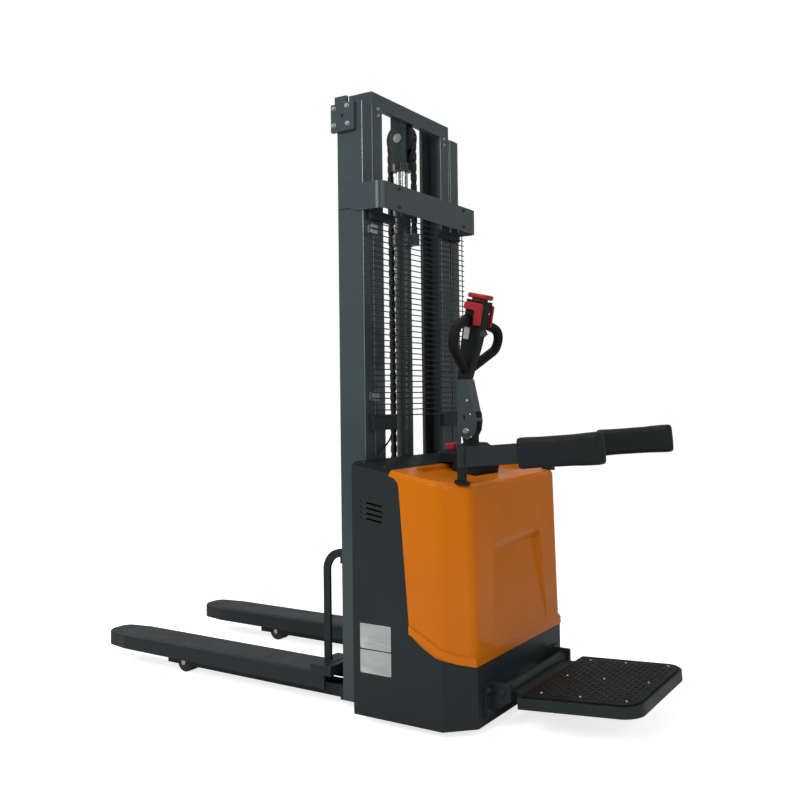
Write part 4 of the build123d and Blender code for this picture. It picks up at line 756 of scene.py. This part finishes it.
# Flat black sheets painted as the shade inside the tiller arm's slots.
form = bmesh.new()
for matrix in both_sides("tiller_arm", ((0.200, 0.977),)):
    slab(form, matrix, rounded_outline(0.007, 0.017, 0.0033), ((1.0, 0.0), (0.94, 0.0005)))
make("arm_slot_shades", form, "tiller", "black_plastic")
form = bmesh.new()
slab(
    form, onto("tiller_arm", (0.0, at(-0.1), 0.985), forward, right),
    rounded_outline(0.030, 0.022, 0.005),
    ((1.0, 0.0), (1.0, 0.004), (0.88, 0.0065), (0.6, 0.0072)),
)
make("arm_bumper", form, "tiller", "black_rubber")
scatter(
    "bracket_bolts", "chassis", hex_bolt,
    from_rear("platform_bracket", ((0.268, 0.066), (0.268, 0.130))), 0.016, "charcoal_paint",
)
scatter(
    "hinge_bolts", "chassis", hex_bolt,
    both_sides("platform_bracket", ((-0.043, 0.122),)), 0.017, "charcoal_paint",
)
scatter(
    "deck_screws", "chassis", socket_screw,
    [onto("top_deck", (x, at(reach), ABOVE), down, right)
     for x in (-0.372, 0.372) for reach in (0.300, 0.382)],
    0.012, look="chain_steel",
)


# Blank plates, tag and collars

PLATE_WIDE = 0.119
PLATE_ROWS = ((0.281, 0.080), (0.200, 0.075))   # height of the middle and size upwards
PLATE_ROUND = 0.004
PLATE_LEVELS = ((1.0, 0.0), (1.0, 0.0008), (0.985, 0.0011), (0.945, 0.0011), (0.935, 0.0007))
RIVET_WIDE, RIVET_ACROSS, RIVET_INSET = 0.0055, 0.0535, 0.006
HEAD_LEAN = math.radians(13.0)
head_up = Vector((0.0, -math.sin(HEAD_LEAN), math.cos(HEAD_LEAN)))
head_out = Vector((0.0, -math.cos(HEAD_LEAN), -math.sin(HEAD_LEAN)))
head_foot = Vector((0.0, at(0.207), 1.108))
COLLAR = ((0.0255, 0.0), (0.0255, 0.002), (0.0235, 0.0035), (0.0205, 0.0035), (0.0205, 0.0))
GROMMET = (
    (0.0085, 0.0), (0.0085, 0.0015), (0.0070, 0.0035), (0.0045, 0.0040), (0.0031, 0.0030), (0.0031, 0.0),
)


def blank_plate(form, matrix, wide, tall):
    """Thin plate with a raised rim."""
    slab(form, matrix, rounded_outline(wide, tall, PLATE_ROUND), PLATE_LEVELS)


def collar(name, node, place, shift, profile, sides, slot):
    """Turned collar on a node's top; shift leads from the ray's place, on solid, to the middle."""
    form = bmesh.new()
    seat = onto(node, (*place, ABOVE), down, right)
    turned(form, seat @ Matrix.Translation(shift), profile, sides)
    make(name, form, "chassis", slot)


form = bmesh.new()
fixings = bmesh.new()
for height, tall in PLATE_ROWS:
    seat = onto("chassis_frame", (-AWAY, at(0.326), height), right, forward)
    blank_plate(form, seat, PLATE_WIDE, tall)
    for x in (-RIVET_ACROSS, RIVET_ACROSS):
        for y in (RIVET_INSET - tall / 2, tall / 2 - RIVET_INSET):
            rivet(fixings, seat @ Matrix.Translation((x, y, 0.0006)), RIVET_WIDE)
make("blank_plates", form, "chassis", "bare_steel", "plate_metal")
make("plate_rivets", fixings, "chassis", "bare_steel")
form = bmesh.new()
tag_place = head_foot + 0.162 * head_up - 0.0138 * head_out + 0.2 * left
blank_plate(form, onto("tiller_head", tag_place, right, head_out), 0.022, 0.042)
make("head_tag", form, "tiller", "bare_steel", "plate_metal")
screw_place = head_foot + 0.240 * head_up + 0.3 * head_out + 0.014 * right
scatter(
    "head_screw", "tiller", socket_screw,
    [onto("tiller_head", screw_place, -head_out, right)], 0.009,
)
collar(
    "stop_collar", "tiller_console", (-0.024, at(0.2285)), (0.0, 0.0235, 0.0), COLLAR, 32,
    "black_plastic",
)
collar(
    "cable_grommet", "top_deck", (-0.316, at(0.383)), (0.014, 0.0, 0.0), GROMMET, 20,
    "black_rubber",
)


# Weld beads

BEAD_STEP = 0.0025
BEAD_TAPER = 0.6    # share of the radius left at each end


def bead(form, start, end, size):
    """Rippled weld bead from start to end."""
    start, end = Vector(start), Vector(end)
    count = max(4, round((end - start).length / BEAD_STEP))
    points = [start.lerp(end, i / count) for i in range(count + 1)]

    def ripple(i):
        return size * (0.86 + 0.14 * math.sin(1.9 * i)) * (BEAD_TAPER if i in (0, count) else 1.0)

    tube(form, points, ripple)


form = bmesh.new()
for side in (-1, 1):
    y, z = at(0.5745), 0.1405
    bead(form, (side * 0.197, y, z), (side * 0.346, y, z), 0.003)
    for edge in (0.2660, 0.2770):
        bead(form, (side * edge, at(0.601), 0.1415), (side * edge, at(0.627), 0.1415), 0.0026)
make("weld_beads", form, "carriage", "charcoal_paint")


# Painted highlights along the rounded edges of the rolled sections

HIGHLIGHT_LINE_RADIUS = 0.0014


def edge_highlight_lines(name, body, places, y, foot, top):
    """Thin bright upright lines painted as highlights where a section's rounded edges catch light, on
    both sides.
    """
    form = bmesh.new()
    for side in (-1, 1):
        for x in places:
            tube(form, [(side * x, y, foot), (side * x, y, top)], HIGHLIGHT_LINE_RADIUS, 6)
    make(name, form, body, "bare_steel", "edge_highlight_steel")


# bright tubes painted as edge highlights on the outer and inner mast sections
edge_highlight_lines("outer_mast_edges", "chassis", (0.2675, 0.3262), at(0.4073), 0.850, 2.044)
edge_highlight_lines("inner_mast_edges", "inner_mast", (0.2013, 0.2615), at(0.4113), 0.070, 2.041)


# Stage and light

WHITE = (1.0, 1.0, 1.0, 1.0)
WORLD_LIGHT = 0.30      # strength of the white surroundings on matt faces; the camera sees 1
GLOSSY_SHARE = 0.22     # of the way from there to 1 in reflections
FLOOR_COLOUR = (0.86, 0.86, 0.86, 1.0)
FLOOR_GLOW = 0.76
FLOOR_SIZE, FLOOR_HEIGHT = 60.0, -0.0005
# name, place, target, width and height, power
LAMPS = (
    ("key", (-3.8, -0.2, 3.2), (0.0, -0.2, 0.8), (2.2, 2.2), 104.0),
    ("fill", (-0.6, -4.4, 2.2), (0.0, -0.3, 0.7), (2.6, 2.6), 24.0),
    ("top", (0.6, 0.4, 4.6), (0.0, 0.0, 0.5), (3.0, 3.0), 64.0),
    ("front", (-1.2, 5.2, 3.4), (0.0, 0.0, 0.8), (2.6, 2.6), 80.0),
    ("strip", (-2.0, -3.4, 1.7), (0.0, -0.4, 1.1), (0.14, 2.2), 12.0),
)


def surroundings():
    """White world that is bright to the camera, weaker in reflections and weakest as light."""
    world = bpy.data.worlds.new("studio")
    bpy.context.scene.world = world
    world.use_nodes = True
    tree = world.node_tree
    background = tree.nodes["Background"]
    rays = tree.nodes.new("ShaderNodeLightPath").outputs
    seen = calculated(tree, "MAXIMUM", rays["Is Camera Ray"], rays["Is Transmission Ray"])
    glossy = calculated(tree, "MULTIPLY", rays["Is Glossy Ray"], GLOSSY_SHARE)
    either = calculated(tree, "MAXIMUM", seen, glossy)
    strength = ranged(tree, either, (0.0, 1.0), (WORLD_LIGHT, 1.0))
    background.inputs["Color"].default_value = WHITE
    tree.links.new(strength, background.inputs["Strength"])


def studio_floor():
    """Pale floor that glows for the camera alone, so that it runs into the surroundings."""
    made, tree, shader = new_material("studio_floor")
    shader.inputs["Base Color"].default_value = FLOOR_COLOUR
    shader.inputs["Roughness"].default_value = 0.9
    shader.inputs["Specular IOR Level"].default_value = 0.0
    shader.inputs["Emission Color"].default_value = WHITE
    rays = tree.nodes.new("ShaderNodeLightPath").outputs
    glow = calculated(tree, "MULTIPLY", rays["Is Camera Ray"], FLOOR_GLOW)
    tree.links.new(glow, shader.inputs["Emission Strength"])
    bpy.ops.mesh.primitive_plane_add(size=FLOOR_SIZE, location=(0.0, 0.0, FLOOR_HEIGHT))
    floor = bpy.context.object
    floor.name = "studio_floor"
    floor.data.materials.append(made)


def lamp(name, place, target, size, power):
    """Soft lamp at place, facing target; size gives its width and height."""
    data = bpy.data.lights.new(name, "AREA")
    data.shape = "RECTANGLE"
    data.size, data.size_y = size
    data.energy = power
    light = bpy.data.objects.new(name, data)
    light.location = place
    light.rotation_euler = (Vector(target) - Vector(place)).to_track_quat("-Z", "Y").to_euler()
    bpy.context.scene.collection.objects.link(light)


surroundings()
studio_floor()
for row in LAMPS:
    lamp(*row)
bpy.context.scene.view_settings.view_transform = "Standard"
